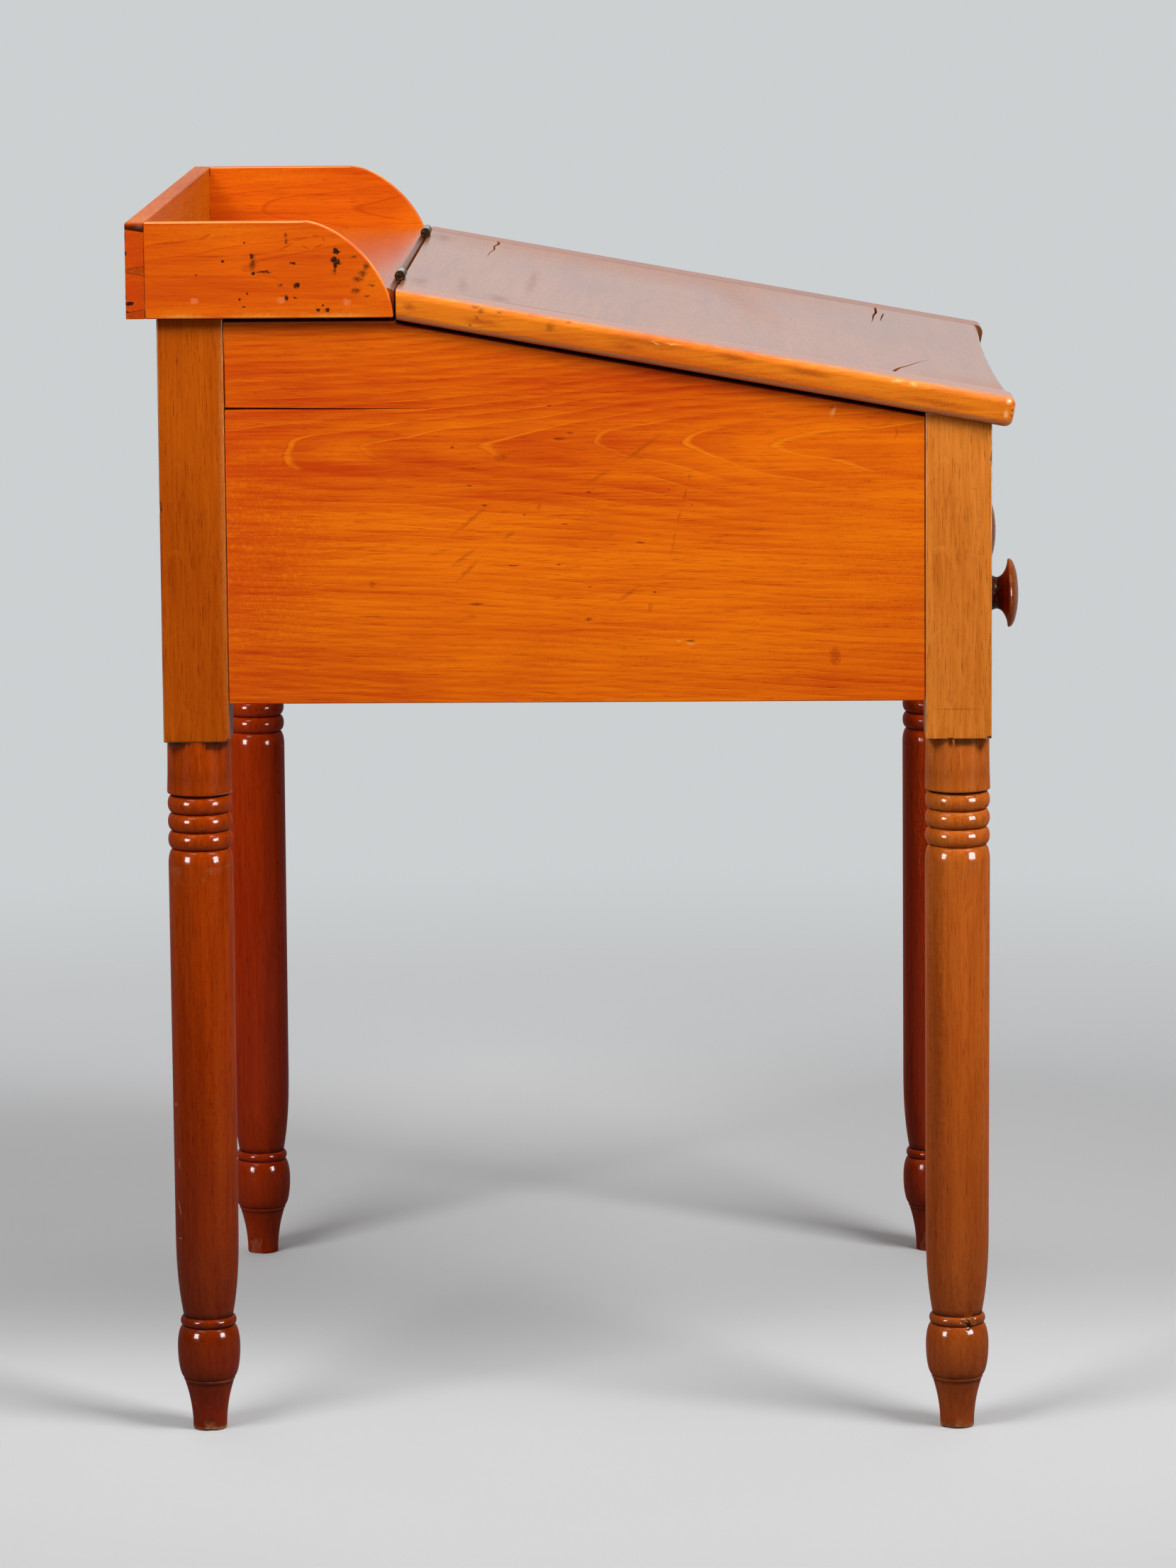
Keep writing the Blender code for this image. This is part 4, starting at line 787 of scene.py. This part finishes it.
# Drawer runners, guides, kickers and stops, and the ledgers of the well: plain strips of bare pine,
# nailed and glued inside the case where nobody sees them.
pine = ((0.56, 0.34, 0.15), (0.42, 0.22, 0.08), (0.26, 0.11, 0.035), (0.34, 0.16, 0.05))
sides = ("left", "right")
strips = [f"drawer_{kind}_{side}" for kind in ("runner", "guide", "kicker", "stop") for side in sides]


def bare_pine(node):
    """Bare pine, with its grain along the piece."""
    low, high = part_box(node)
    grain = along_y if high.y - low.y > high.x - low.x else along_x
    heart = (low + high) / 2 + Vector((0.013, 0.017, -0.022))
    return wooden("pine_" + node, grain, tuple(heart), *pine, bare=(0.6, 0.38, 0.18), ring=0.005, flecks=0.2,
                  gloss=0.6, specular=0.35, coat=0.0)


for node in strips + ["well_ledger_front", "well_ledger_back", "well_floor"]:
    fit(ease(bench_copy(node), 0.0006, lambda p: True, 2), node, bare_pine(node))

# Top board: the fixed board behind the lid, inside the gallery, with its front edge nosed over
# and let in for the two hinges.
low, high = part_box("top_board")
board = bench_copy("top_board")
ease(board, 0.0024, lambda p: p.y < low.y + touch and p.z > high.z - touch)
mark_wear(board)
colours = ((0.47, 0.118, 0.004), (0.333, 0.059, 0.002), (0.15, 0.026, 0.001), (0.54, 0.16, 0.008))
finish = wooden("shellac_top_board", along_x, (0.1, 0.26, 0.85), *colours, gloss=0.24, specular=0.5,
                coat=0.9, coat_roughness=0.14)
hinge_smudges = [((-0.252, 0.158, high.z), (0.007, 0.022, 0.01)),
                 ((0.206, 0.166, high.z), (0.01, 0.03, 0.01))]
stain(finish, hinge_smudges, (0.1, 0.03, 0.006), 0.7, wobble=0.008, dull=0.5)
# Painted shadow along the joint between the top board's nosing and the lid.
nosing_shadow = [((0, low.y, high.z), (0.6, 0.005, 0.008))]
stain(finish, nosing_shadow, (0.05, 0.012, 0.003), 0.95, wobble=0.001, soft=0.5, dull=1.0)
fit(board, "top_board", finish)

# Gallery: a back board and two side boards with swept front ends, through-dovetailed at the back corners
# and nailed round the top board. The near side is spotted with ink, and its edges are rubbed pale.
tails, tail_share, tail_margin, tail_slope = 2, 0.77, 0.0037, 1 / 6
sweep_length, sweep_power, sweep_steps = 0.067, 1.2, 36
ink = tenths(
    (2429, 9109, 24, 21), (2417, 8975, 21, 18), (2338, 8987, 68, 11), (2642, 9072, 18, 12),
    (2481, 9203, 15, 11), (2848, 8970, 12, 8), (2123, 9050, 33, 14), (2097, 8886, 29, 26),
    (1795, 9142, 27, 26), (1776, 9130, 24, 20), (1814, 9074, 38, 34), (1784, 9058, 36, 31),
    (1800, 9037, 25, 28), (2524, 8780, 17, 14), (2465, 8827, 12, 6), (2169, 8791, 27, 27),
    (2103, 8793, 14, 12), (1933, 8701, 18, 15), (1864, 8703, 27, 21), (1895, 8736, 12, 12),
    (2492, 8724, 12, 8),
)
smears = tenths(
    (2420, 9050, 34, 70), (2176, 9261, 20, 30), (2167, 9218, 22, 30), (2218, 8891, 26, 14),
    (1809, 8995, 24, 46), (1662, 9097, 26, 16), (1568, 9022, 42, 42), (1597, 8972, 52, 38),
    (1633, 8930, 68, 30), (1651, 8842, 46, 36), (1527, 8884, 44, 14), (1563, 8801, 34, 14),
)
plugs = tenths((2209, 8774, 40, 27), (2866, 8774, 38, 30), (1714, 8756, 38, 28))
holes = tenths(
    (3356, 8755, 43, 18), (3376, 8687, 24, 16), (3385, 9133, 18, 22), (3386, 9254, 10, 50),
    (3386, 8884, 9, 12), (3386, 8805, 10, 24),
)
red_ends = tenths((3320, 9169, 60, 80), (3330, 8850, 70, 90))
amber_spots = tenths((2700, 9300, 900, 120), (1800, 8660, 1100, 130), (1500, 8900, 250, 300),
                     (3000, 8660, 500, 120))
flame_lines = (
    tenths((3249, 9197), (2849, 9219), (2706, 9290)),
    tenths(
        (2949, 9105), (2535, 9105), (2249, 9133), (2091, 9219), (1991, 9257), (1898, 9257), (1877, 9204),
        (1977, 9150), (2070, 9190),
    ),
)
gallery_orange = ((0.81, 0.137, 0.001), (0.57, 0.061, 0.001), (0.28, 0.024, 0.001), (0.46, 0.045, 0.001))


def toned(colours, share):
    """Darken or lighten a set of colours."""
    return [[share * value for value in colour] for colour in colours]


for side, node in ((-1, "gallery_side_left"), (1, "gallery_side_right")):
    low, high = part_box(node)
    thick = high.x - low.x
    root = high.y - thick
    pitch = (high.z - low.z - 2 * tail_margin) / tails
    points = [(root, low.z)]
    for k in range(tails):
        centre = low.z + tail_margin + pitch * (k + 0.5)
        near = pitch * tail_share / 2
        far = near + thick * tail_slope
        points += [(root, centre - near), (high.y, centre - far)]
        points += [(high.y, centre + far), (root, centre + near)]
    points.append((root, high.z))
    for k in range(sweep_steps, -1, -1):
        turn = math.pi / 2 * k / sweep_steps
        rise = (high.z - low.z) * math.sin(turn) ** sweep_power
        points.append((low.y + sweep_length * (1 - math.cos(turn) ** sweep_power), low.z + rise))
    board = outline(node + "_finished", points, low.x, high.x)
    ease(board, 0.0011, lambda p: p.y < root + 0.0005)
    mark_wear(board)
    colours = toned(gallery_orange, 1.03 if side < 0 else 0.89)
    finish = wooden("shellac_" + node, along_y, (side * 0.31, 0.2, 0.9), *colours, ring=0.006, flecks=0.45)
    amber = [(centre, (0.02, *reach[1:])) for centre, reach in flat_spots((low.x + high.x) / 2, amber_spots)]
    stain(finish, amber, (0.85, 0.195, 0.002), 0.6, wobble=0.01)
    if side < 0:
        flame = [start + end for line in flame_lines for start, end in zip(line, line[1:])]
        stain(finish, strokes(low.x, 0.001, flame), (0.42, 0.036, 0.001), 1.0, wobble=0.0012)
        strip = flat_spots(low.x, [((root + high.y) / 2, 0.9, thick / 2 + 0.0004, 0.08)])
        stain(finish, strip, (0.52, 0.042, 0.001), 0.75, wobble=0.0004, soft=0.95)
        stain(finish, flat_spots(low.x, smears), (0.12, 0.022, 0.003), 1.0, soft=0.1)
        stain(finish, flat_spots(low.x, plugs), (0.76, 0.175, 0.048), 0.85, wobble=0.005, soft=0.6)
        stain(finish, flat_spots(low.x, ink), (0.03, 0.009, 0.003), 1.25, wobble=0.0046, soft=0.4,
              sink=-0.5)
        stain(finish, flat_spots(low.x, holes), (0.01, 0.004, 0.002), 1.0, wobble=0.0015, soft=0.7,
              sink=1.5)
        gauge_line = strokes(low.x, 0.0005, [(root, low.z - 0.02, root, high.z + 0.02)])
        stain(finish, gauge_line, (0.1, 0.014, 0.002), 0.8, wobble=0.0006, soft=0.4, sink=0.6)
        stain(finish, flat_spots(low.x, red_ends), (0.6, 0.05, 0.002), 0.5, wobble=0.006, soft=0.1)
        lowest = low.z + 0.0012
        lengths = ((0.325, 0.265), (0.28, 0.2), (0.225, 0.136))
        pale_edge_strip = strokes(low.x, 0.0036, [(start, lowest, end, lowest) for start, end in lengths])
        stain(finish, pale_edge_strip, (0.84, 0.3, 0.04), 0.75)
    fit(board, node, finish)

low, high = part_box("gallery_back")
board = bench_copy("gallery_back")
ease(board, 0.0011, lambda p: p.z > high.z - touch)
mark_wear(board, broad=0.00002)
colours = ((0.6, 0.138, 0.002), (0.41, 0.064, 0.001), (0.18, 0.024, 0.001), (0.64, 0.17, 0.004))
finish = wooden("shellac_gallery_back", along_x, (0.1, 0.36, 0.87), *colours)
for end in (low.x, high.x):
    end_grain = flat_spots(end, [(0.332, 0.9, 0.014, 0.05)])
    stain(finish, end_grain, (0.4, 0.028, 0.002), 0.8, wobble=0.002, soft=0.8)
bruise = flat_spots(low.x, [(0.3275, 0.933, 0.0032, 0.0032)])
stain(finish, bruise, (0.36, 0.16, 0.15), 0.8, soft=0.3)
fit(board, "gallery_back", finish)

# Lid: a wide board with a cleat tongued across each end to keep it flat. Elbows have worn its front edge
# hollow, and it has shrunk back between the cleats. The cleats' outer edges are rounded over.
# It is drawn level with its hinge axis at the origin, then tipped to its slope.
hinge = Vector(next(joint for joint in frame["joints"] if joint["name"] == "lid_hinge")["pos_m"])
lid_slope = math.radians(10.3)
lid_thick, lid_half, cleat_width, lid_front = 0.0228, 0.342, 0.05, -0.4757
axis_rise, joint_gap, hairline = 0.003, 0.0022, 0.0003
lid_top = -axis_rise * math.cos(lid_slope)
lid_low = lid_top - lid_thick
board_half = lid_half - cleat_width - hairline
tongue, tongue_stop = 0.014, 0.024
leaf_thick, leaf_low, barrel, barrel_room, pin = 0.0018, -0.0178, 0.004, 0.0045, 0.0016
leaf_top = -barrel - hairline
hinge_length, knuckles = 0.04, 5
hinge_middles = {"left": -0.23, "right": 0.23}
screw_head, screw_head_depth, screw_shank, screw_length = 0.0027, 0.0014, 0.0013, 0.013


def slice_up(piece, axis, low, high, count):
    """Add evenly spaced rows of points across a piece, so that its edges can wave."""
    normal = Vector((0, 0, 0))
    normal[axis] = 1
    open_mesh(piece)
    for k in range(1, count):
        bpy.ops.mesh.select_all(action="SELECT")
        bpy.ops.mesh.bisect(plane_co=normal * (low + (high - low) * k / count), plane_no=normal)
    bpy.ops.object.mode_set(mode="OBJECT")


def tip(piece):
    """Tip a piece of the lid from level to its slope, on the hinge axis."""
    return move(piece, hinge, (lid_slope, 0, 0))


def plumb(piece):
    """Trim the back of the lid upright, to stand level with the edge of the top board."""
    waste = block("waste", (-0.36, hinge.y - joint_gap / 2, 0.8), (0.36, hinge.y + 0.06, 0.95))
    cut(piece, waste)


def screw_profile(grow, past):
    """A countersunk screw from its head down; a hole is a little larger and runs on past the head."""
    head, shank, end = screw_head + grow, screw_shank + grow, screw_length + grow
    points = [(0, past), (head, past)] if past else [(0, 0)]
    points += [(head, 0), (shank, -screw_head_depth - grow), (shank, -end + 2 * shank), (0, -end)]
    return points


def screw_places(start):
    """Where the three screws of a leaf go, along the hinge and below its axis."""
    middle, stagger = (leaf_top + leaf_low) / 2, 0.0025
    places = ((0.006, stagger), (0.02, -stagger), (0.034, stagger))
    return [(start + along, middle + up) for along, up in places]


def let_in_hinges(board):
    """Cut the recesses and the screw holes for the leaves into the back edge of the lid."""
    for middle in hinge_middles.values():
        start = middle - hinge_length / 2
        far = 2 * hairline + leaf_thick
        points = [(-hairline, leaf_low - hairline), (far, leaf_low - hairline)]
        first = math.asin(far / barrel_room)
        for k in range(17):
            turn = first + (math.pi - first) * k / 16
            points.append((barrel_room * math.sin(turn), -barrel_room * math.cos(turn)))
        points.append((-hairline, barrel_room))
        points = [(hinge.y - y, hinge.z + z) for y, z in points]
        cut(board, outline("recess", points, start - hairline, start + hinge_length + hairline))
        for x, z in screw_places(start):
            hole = turned("hole", screw_profile(hairline, 0.005), 24)
            cut(board, move(hole, hinge + Vector((x, -hairline, z)), (-math.pi / 2, 0, 0)))


def crack_tool(path):
    """A thin wedge along a path of (x, y, width) points on the level lid, deep enough to look dark."""
    points = [(y + width / 2, x) for x, y, width in path]
    points += [(y - width / 2, x) for x, y, width in reversed(path)]
    wedge = outline("crack", points, -lid_top - 0.002, -lid_top + 0.006)
    return move(wedge, turn=(0, math.pi / 2, 0))


cracks = (
    tenths(
        (3000, -600, 26), (2620, -606, 18), (2360, -580, 16), (2000, -592, 11), (1600, -566, 7),
        (1160, -560, 2),
    ),
    tenths(
        (3000, -3826, 24), (2430, -3822, 20), (2050, -3790, 17), (1700, -3778, 10), (1290, -3755, 2),
    ),
    tenths((2500, -3890, 2), (2220, -3872, 12), (1850, -3850, 9), (1600, -3840, 2)),
    tenths(
        (-3000, -3820, 30), (-2750, -3850, 24), (-2500, -3892, 18), (-2200, -3962, 13), (-1750, -4052, 8),
        (-1350, -4150, 2),
    ),
)
lid_back = lid_thick
corner = (-board_half, lid_front + 0.004, lid_low)
board = block("lid_board_finished", corner, (board_half, lid_back, lid_top))
slice_up(board, 0, -board_half, board_half, 48)
for vert in board.data.vertices:
    if vert.co.y < lid_front / 2:
        hollow = 0.0045 * (1 - (vert.co.x / board_half) ** 2)
        hollow += 0.0005 * noise.noise(Vector((vert.co.x * 30.0, 0.0, vert.co.z * 20.0)))
        vert.co.y += max(0.0, hollow)
ease(board, 0.0055, lambda p: p.y < lid_front / 2, 6)
for side in (-1, 1):
    near = (side * (board_half - tongue), lid_front + tongue_stop, lid_low + lid_thick / 3)
    far = (side * (board_half + tongue), -tongue_stop, lid_top - lid_thick / 3)
    cut(board, block("tongue", near, far), "UNION")
for path in cracks:
    cut(board, crack_tool(path))
plumb(tip(board))
back_edge = hinge.y - joint_gap / 2
ease(board, 0.0012, lambda p: p.y > back_edge - touch and p.z > hinge.z - 0.006, 2)
let_in_hinges(board)
mark_wear(board)
lid_looks = dict(gloss=0.26, specular=0.5, coat=1.0, coat_roughness=0.14)
colours = ((0.49, 0.138, 0.008), (0.34, 0.074, 0.003), (0.15, 0.028, 0.002), (0.53, 0.17, 0.012))
finish = wooden("shellac_lid_board", along_x, (0.2, -0.06, 0.77), *colours, ring=0.006, **lid_looks)
hinge_dirt = [((-0.23, 0.122, 0.882), (0.06, 0.01, 0.02)),
              ((0.23, 0.122, 0.882), (0.06, 0.01, 0.02)),
              ((-0.2, 0.09, 0.876), (0.1, 0.006, 0.02), (0, 0, 0.03)),
              ((-0.05, 0.04, 0.868), (0.2, 0.006, 0.02)),
              ((-0.26, 0.06, 0.872), (0.04, 0.012, 0.02), (0, 0, 0.05)),
              ((-0.29, 0.03, 0.865), (0.012, 0.12, 0.04))]
stain(finish, hinge_dirt, (0.16, 0.03, 0.003), 0.75, wobble=0.02, dull=0.45)
dull_zones = [((-0.28, -0.32, 0.8), (0.1, 0.1, 0.2)),
              ((0.1, -0.13, 0.84), (0.3, 0.03, 0.2), (0, 0, 0.1))]
stain(finish, dull_zones, (0.3, 0.065, 0.004), 0.35, wobble=0.03, dull=0.32)
far_zone = [((0.34, -0.02, 0.85), (0.28, 0.32, 0.2))]
stain(finish, far_zone, (0.34, 0.07, 0.004), 0.4, wobble=0.03, dull=0.62)
# Painted shadow in the joint between the board and the far cleat.
far_seam_shadow = [((board_half, -0.08, 0.85), (0.004, 0.6, 0.3))]
stain(finish, far_seam_shadow, (0.03, 0.008, 0.002), 0.95, wobble=0.001, soft=0.3, dull=1.0)
fit(board, "lid_board", finish)

knocks = tenths(
    (755, 8715, 64, 26), (714, 8680, 40, 34), (746, 8625, 24, 26), (795, 8577, 22, 18), (575, 8672, 42, 22),
    (341, 8649, 34, 16), (193, 8552, 52, 50), (49, 8594, 52, 22),
)
streaks = tenths(
    (-998, 8363, -1371, 8286), (-1477, 8259, -2009, 8149), (917, 8640, 492, 8560), (-200, 8440, -560, 8380),
    (-2328, 8040, -3127, 7900), (1315, 8735, 1180, 8700),
)
rubs = tenths((-2536, 8119, 45, 35), (-3254, 7986, 30, 50), (-3235, 7880, 26, 50), (-2420, 8140, 80, 18))
rubbed_lines = tenths((-560, 8455, -640, 8418), (-640, 8440, -820, 8410))
cleat_orange = ((0.86, 0.225, 0.006), (0.54, 0.08, 0.001), (0.2, 0.026, 0.001), (0.88, 0.26, 0.01))
for side, node in ((-1, "lid_cleat_left"), (1, "lid_cleat_right")):
    inner, outer = side * (lid_half - cleat_width), side * lid_half
    cleat = block(node + "_finished", (inner, lid_front, lid_low), (outer, lid_back, lid_top))
    slice_up(cleat, 1, lid_front, lid_back, 60)
    middle = side * (lid_half - cleat_width / 2)
    ease(cleat, 0.006, lambda p: (p.x - middle) * side > 0 or p.y < lid_front + 0.001, 6,
         lambda p: abs(p.x - inner) < 0.001)
    for vert in cleat.data.vertices:
        if (vert.co.x - middle) * side > 0:
            wave = noise.noise(Vector((side * 7.0, vert.co.y * 40.0, vert.co.z * 60.0)))
            vert.co.x -= side * 0.0005 * (0.5 + 0.5 * wave)
    near = (side * (lid_half - cleat_width - 0.01), lid_front + tongue_stop - hairline,
            lid_low + lid_thick / 3 - hairline)
    far = (side * (board_half + tongue + hairline), -tongue_stop + hairline,
           lid_top - lid_thick / 3 + hairline)
    cut(cleat, block("groove", near, far))
    plumb(tip(cleat))
    if side < 0:
        nick(cleat, (-0.3404, -0.329, 0.7948), (0.0013, 0.0013, 0.0022), 4)
        nick(cleat, (-0.3402, -0.3281, 0.7902), (0.0012, 0.0014, 0.0016), 12)
        nick(cleat, (-0.3404, -0.3273, 0.7862), (0.0013, 0.0012, 0.0014), 15)
    mark_wear(cleat, 0.002 if side < 0 else 0.02)
    colours = toned(cleat_orange, 1.0 if side < 0 else 0.52)
    cleat_looks = dict(lid_looks, specular=0.3) if side < 0 else dict(lid_looks, coat=0.55)
    finish = wooden("shellac_" + node, along_y, (side * 0.3, 0.0, 0.79), *colours, **cleat_looks)
    if side < 0:
        edge = -lid_half
        top_face = [((middle + 0.003, -0.1, 0.847), (0.03, 0.9, 0.008), (lid_slope, 0, 0))]
        stain(finish, top_face, (0.42, 0.105, 0.006), 0.85, wobble=0.003, soft=0.7)
        stain(finish, flat_spots(edge, knocks), (0.11, 0.018, 0.002), 0.85, wobble=0.003, soft=0.1, sink=1.2,
              dull=0.5)
        polished = [((edge, -0.1, 0.8315), (0.0085, 0.46, 0.0125), (lid_slope, 0, 0))]
        stain(finish, polished, (0.8, 0.21, 0.003), 0.35, wobble=0.003, soft=0.4, dull=0.8)
        dark_streak = strokes(edge, 0.005, [(-0.01, 0.8515, -0.095, 0.837)])
        stain(finish, dark_streak, (0.32, 0.045, 0.002), 0.6)
        red_streak = strokes(edge, 0.0055, [(0.1, 0.862, -0.33, 0.783)])
        stain(finish, red_streak, (0.5, 0.062, 0.001), 0.6, wobble=0.003, soft=0.2)
        stain(finish, strokes(edge, 0.0042, streaks), (0.34, 0.038, 0.001), 0.7, wobble=0.0025)
        bare_marks = flat_spots(edge, rubs) + strokes(edge, 0.0008, rubbed_lines)
        stain(finish, bare_marks, (0.95, 0.5, 0.2), 0.75, soft=0.1, dull=0.5)
    else:
        front_end = [((inner, -0.3315, 0.795), (0.014, 0.014, 0.03))]
        stain(finish, front_end, (0.13, 0.045, 0.014), 0.9, wobble=0.003, soft=0.5, dull=1.0)
    fit(cleat, node, finish)

# Hinges: two small iron butts with five knuckles, their barrels standing above the joint. The leaves are
# let into the edges of the top board and the lid, with three countersunk screws each.
colours = ((0.17, 0.09, 0.04), (0.075, 0.036, 0.014), (0.04, 0.02, 0.01), (0.14, 0.08, 0.04))
iron = wooden("worn_iron", along_x, (0, 0, 0), *colours, bare=(0.36, 0.3, 0.25), figure=0.0, flecks=0.3,
              gloss=0.4, specular=0.35, coat=0.0)
iron.node_tree.nodes["Principled BSDF"].inputs["Metallic"].default_value = 0.85
# Barrel tops: bare worn iron with a painted highlight.
barrel_top_wear_and_highlight = [((x, hinge.y, hinge.z + 0.005), (0.0205, 0.006, 0.0036)) for x in hinge_middles.values()]
stain(iron, barrel_top_wear_and_highlight, (0.6, 0.59, 0.58), 0.95, wobble=0.0008, soft=0.6)
# Barrel ends: rust with painted shade.
barrel_end_rust_and_shade = [((x + end * hinge_length / 2, hinge.y, hinge.z), (0.0009, 0.0065, 0.0065))
               for x in hinge_middles.values() for end in (-1, 1)]
stain(iron, barrel_end_rust_and_shade, (0.045, 0.02, 0.006), 1.0, wobble=0.0003, soft=0.75)


def rod(name, radius, start, end, sides=32):
    """A round bar across the desk."""
    bpy.ops.mesh.primitive_cylinder_add(vertices=sides, radius=radius, depth=end - start)
    piece = bpy.context.object
    piece.name = name
    return move(piece, ((start + end) / 2, 0, 0), (0, math.pi / 2, 0))


for label, middle in hinge_middles.items():
    start = middle - hinge_length / 2
    pitch = hinge_length / knuckles
    for board_name, face, first in (("top", 1, 0), ("lid", -1, 1)):
        near, far = sorted((face * hairline, face * (hairline + leaf_thick)))
        name = f"hinge_{label}_{board_name}_leaf"
        leaf = block(name + "_finished", (start, near, leaf_low), (start + hinge_length, far, leaf_top))
        for k in range(first, knuckles, 2):
            low_x = start + pitch * k + (hairline / 2 if k else 0.0)
            high_x = start + pitch * (k + 1) - (hairline / 2 if k < knuckles - 1 else 0.0)
            cut(leaf, block("neck", (low_x, near, leaf_top - leaf_thick / 2), (high_x, far, -pin)), "UNION")
            knuckle = rod("knuckle", barrel, low_x, high_x)
            ease(knuckle, 0.0004, lambda p: True, 2)
            cut(leaf, knuckle, "UNION")
        cut(leaf, rod("bore", pin + hairline, start - 0.01, start + hinge_length + 0.01))
        for k, (x, z) in enumerate(screw_places(start)):
            turn = (face * math.pi / 2, 0, 0)
            hole = turned("hole", screw_profile(hairline, 0.005), 24)
            cut(leaf, move(hole, (x, face * hairline, z), turn))
            screw_name = f"hinge_{label}_{board_name}_screw_{k + 1}"
            screw = turned(screw_name + "_finished", screw_profile(0.0, 0.0), 24)
            slot = block("slot", (-0.004, -0.00035, -0.0007), (0.004, 0.00035, 0.001))
            cut(screw, move(slot, (0, 0, 0), (0, 0, 0.9 * k + face)))
            move(screw, hinge + Vector((x, face * hairline, z)), turn)
            mark_wear(screw)
            fit(screw, screw_name, iron)
        move(leaf, hinge)
        mark_wear(leaf, 0.001)
        fit(leaf, name, iron)
    name = f"hinge_{label}_pin"
    bar = ease(rod(name + "_finished", pin, start, start + hinge_length), 0.0005, lambda p: True, 3)
    fit(move(bar, hinge), name, iron)

# Drawer: a front of the same shellacked wood, half-lapped to two pine sides that are dovetailed to the back,
# with a thin bottom slid into grooves.
for node in ("drawer_front", "drawer_side_left", "drawer_side_right", "drawer_back", "drawer_bottom"):
    low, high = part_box(node)
    piece = bench_copy(node)
    if node == "drawer_front":
        ease(piece, 0.0012, lambda p: p.y < low.y + touch)
        mark_wear(piece)
        finish = crosswise(node)
    else:
        finish = bare_pine(node)
    fit(piece, node, finish)

# Knobs: two mushroom knobs turned from hardwood and stained dark, hollowed under the rim.
# Each has a tenon through the drawer front.
knob_reach, knob_radius, knob_rim, knob_dome = 0.0264, 0.0265, 0.0018, 0.0072
front_thick = 0.019
under = knob_reach - knob_dome - knob_rim
profile = []
for k in range(15):
    turn = math.pi / 2 * k / 14
    profile.append((knob_radius * math.sin(turn), knob_reach - knob_dome * (1 - math.cos(turn))))
profile += [(knob_radius, under + 0.0013), (knob_radius - 0.0004, under + 0.0009), (0.0252, under + 0.0008)]
profile += [(0.0236, under + 0.0006), (0.0209, under), (0.0188, under - 0.0008), (0.017, under - 0.0017)]
profile += [(0.0154, under - 0.0027), (0.0141, under - 0.0037), (0.0131, under - 0.0051)]
profile += [(0.0125, under - 0.0063)]
profile += [(0.0123, 0.01), (0.0124, 0.009), (0.0128, 0.0076), (0.0135, 0.0062), (0.0142, 0.0048)]
profile += [(0.0149, 0.0034), (0.0154, 0.0018), (0.0155, 0.0003)]
profile += [(0.0075, 0.0003), (0.0075, -front_thick), (0, -front_thick)]
colours = ((0.32, 0.074, 0.004), (0.18, 0.03, 0.002), (0.06, 0.01, 0.001), (0.36, 0.09, 0.006))
for node in ("knob_left", "knob_right"):
    low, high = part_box(node)
    face = Vector(((low.x + high.x) / 2, high.y - front_thick, (low.z + high.z) / 2))
    knob = move(turned(node + "_finished", profile), face, (math.pi / 2, 0, 0))
    mark_wear(knob)
    finish = wooden("stain_" + node, along_y, tuple(face + Vector((0.01, 0, 0.014))), *colours,
                    bare=(0.42, 0.14, 0.02), gloss=0.2, specular=0.03, coat=0.11, coat_roughness=0.1)
    # Painted shadow on the neck under the rim, fading out across the underside.
    neck = [((face.x, face.y + 0.5, face.z), (1.0, 0.518, 1.0))]
    stain(finish, neck, (0.015, 0.003, 0.001), 0.95, wobble=0.001, soft=0.985)
    fit(knob, node, finish)
    turnings.objects.link(knob)
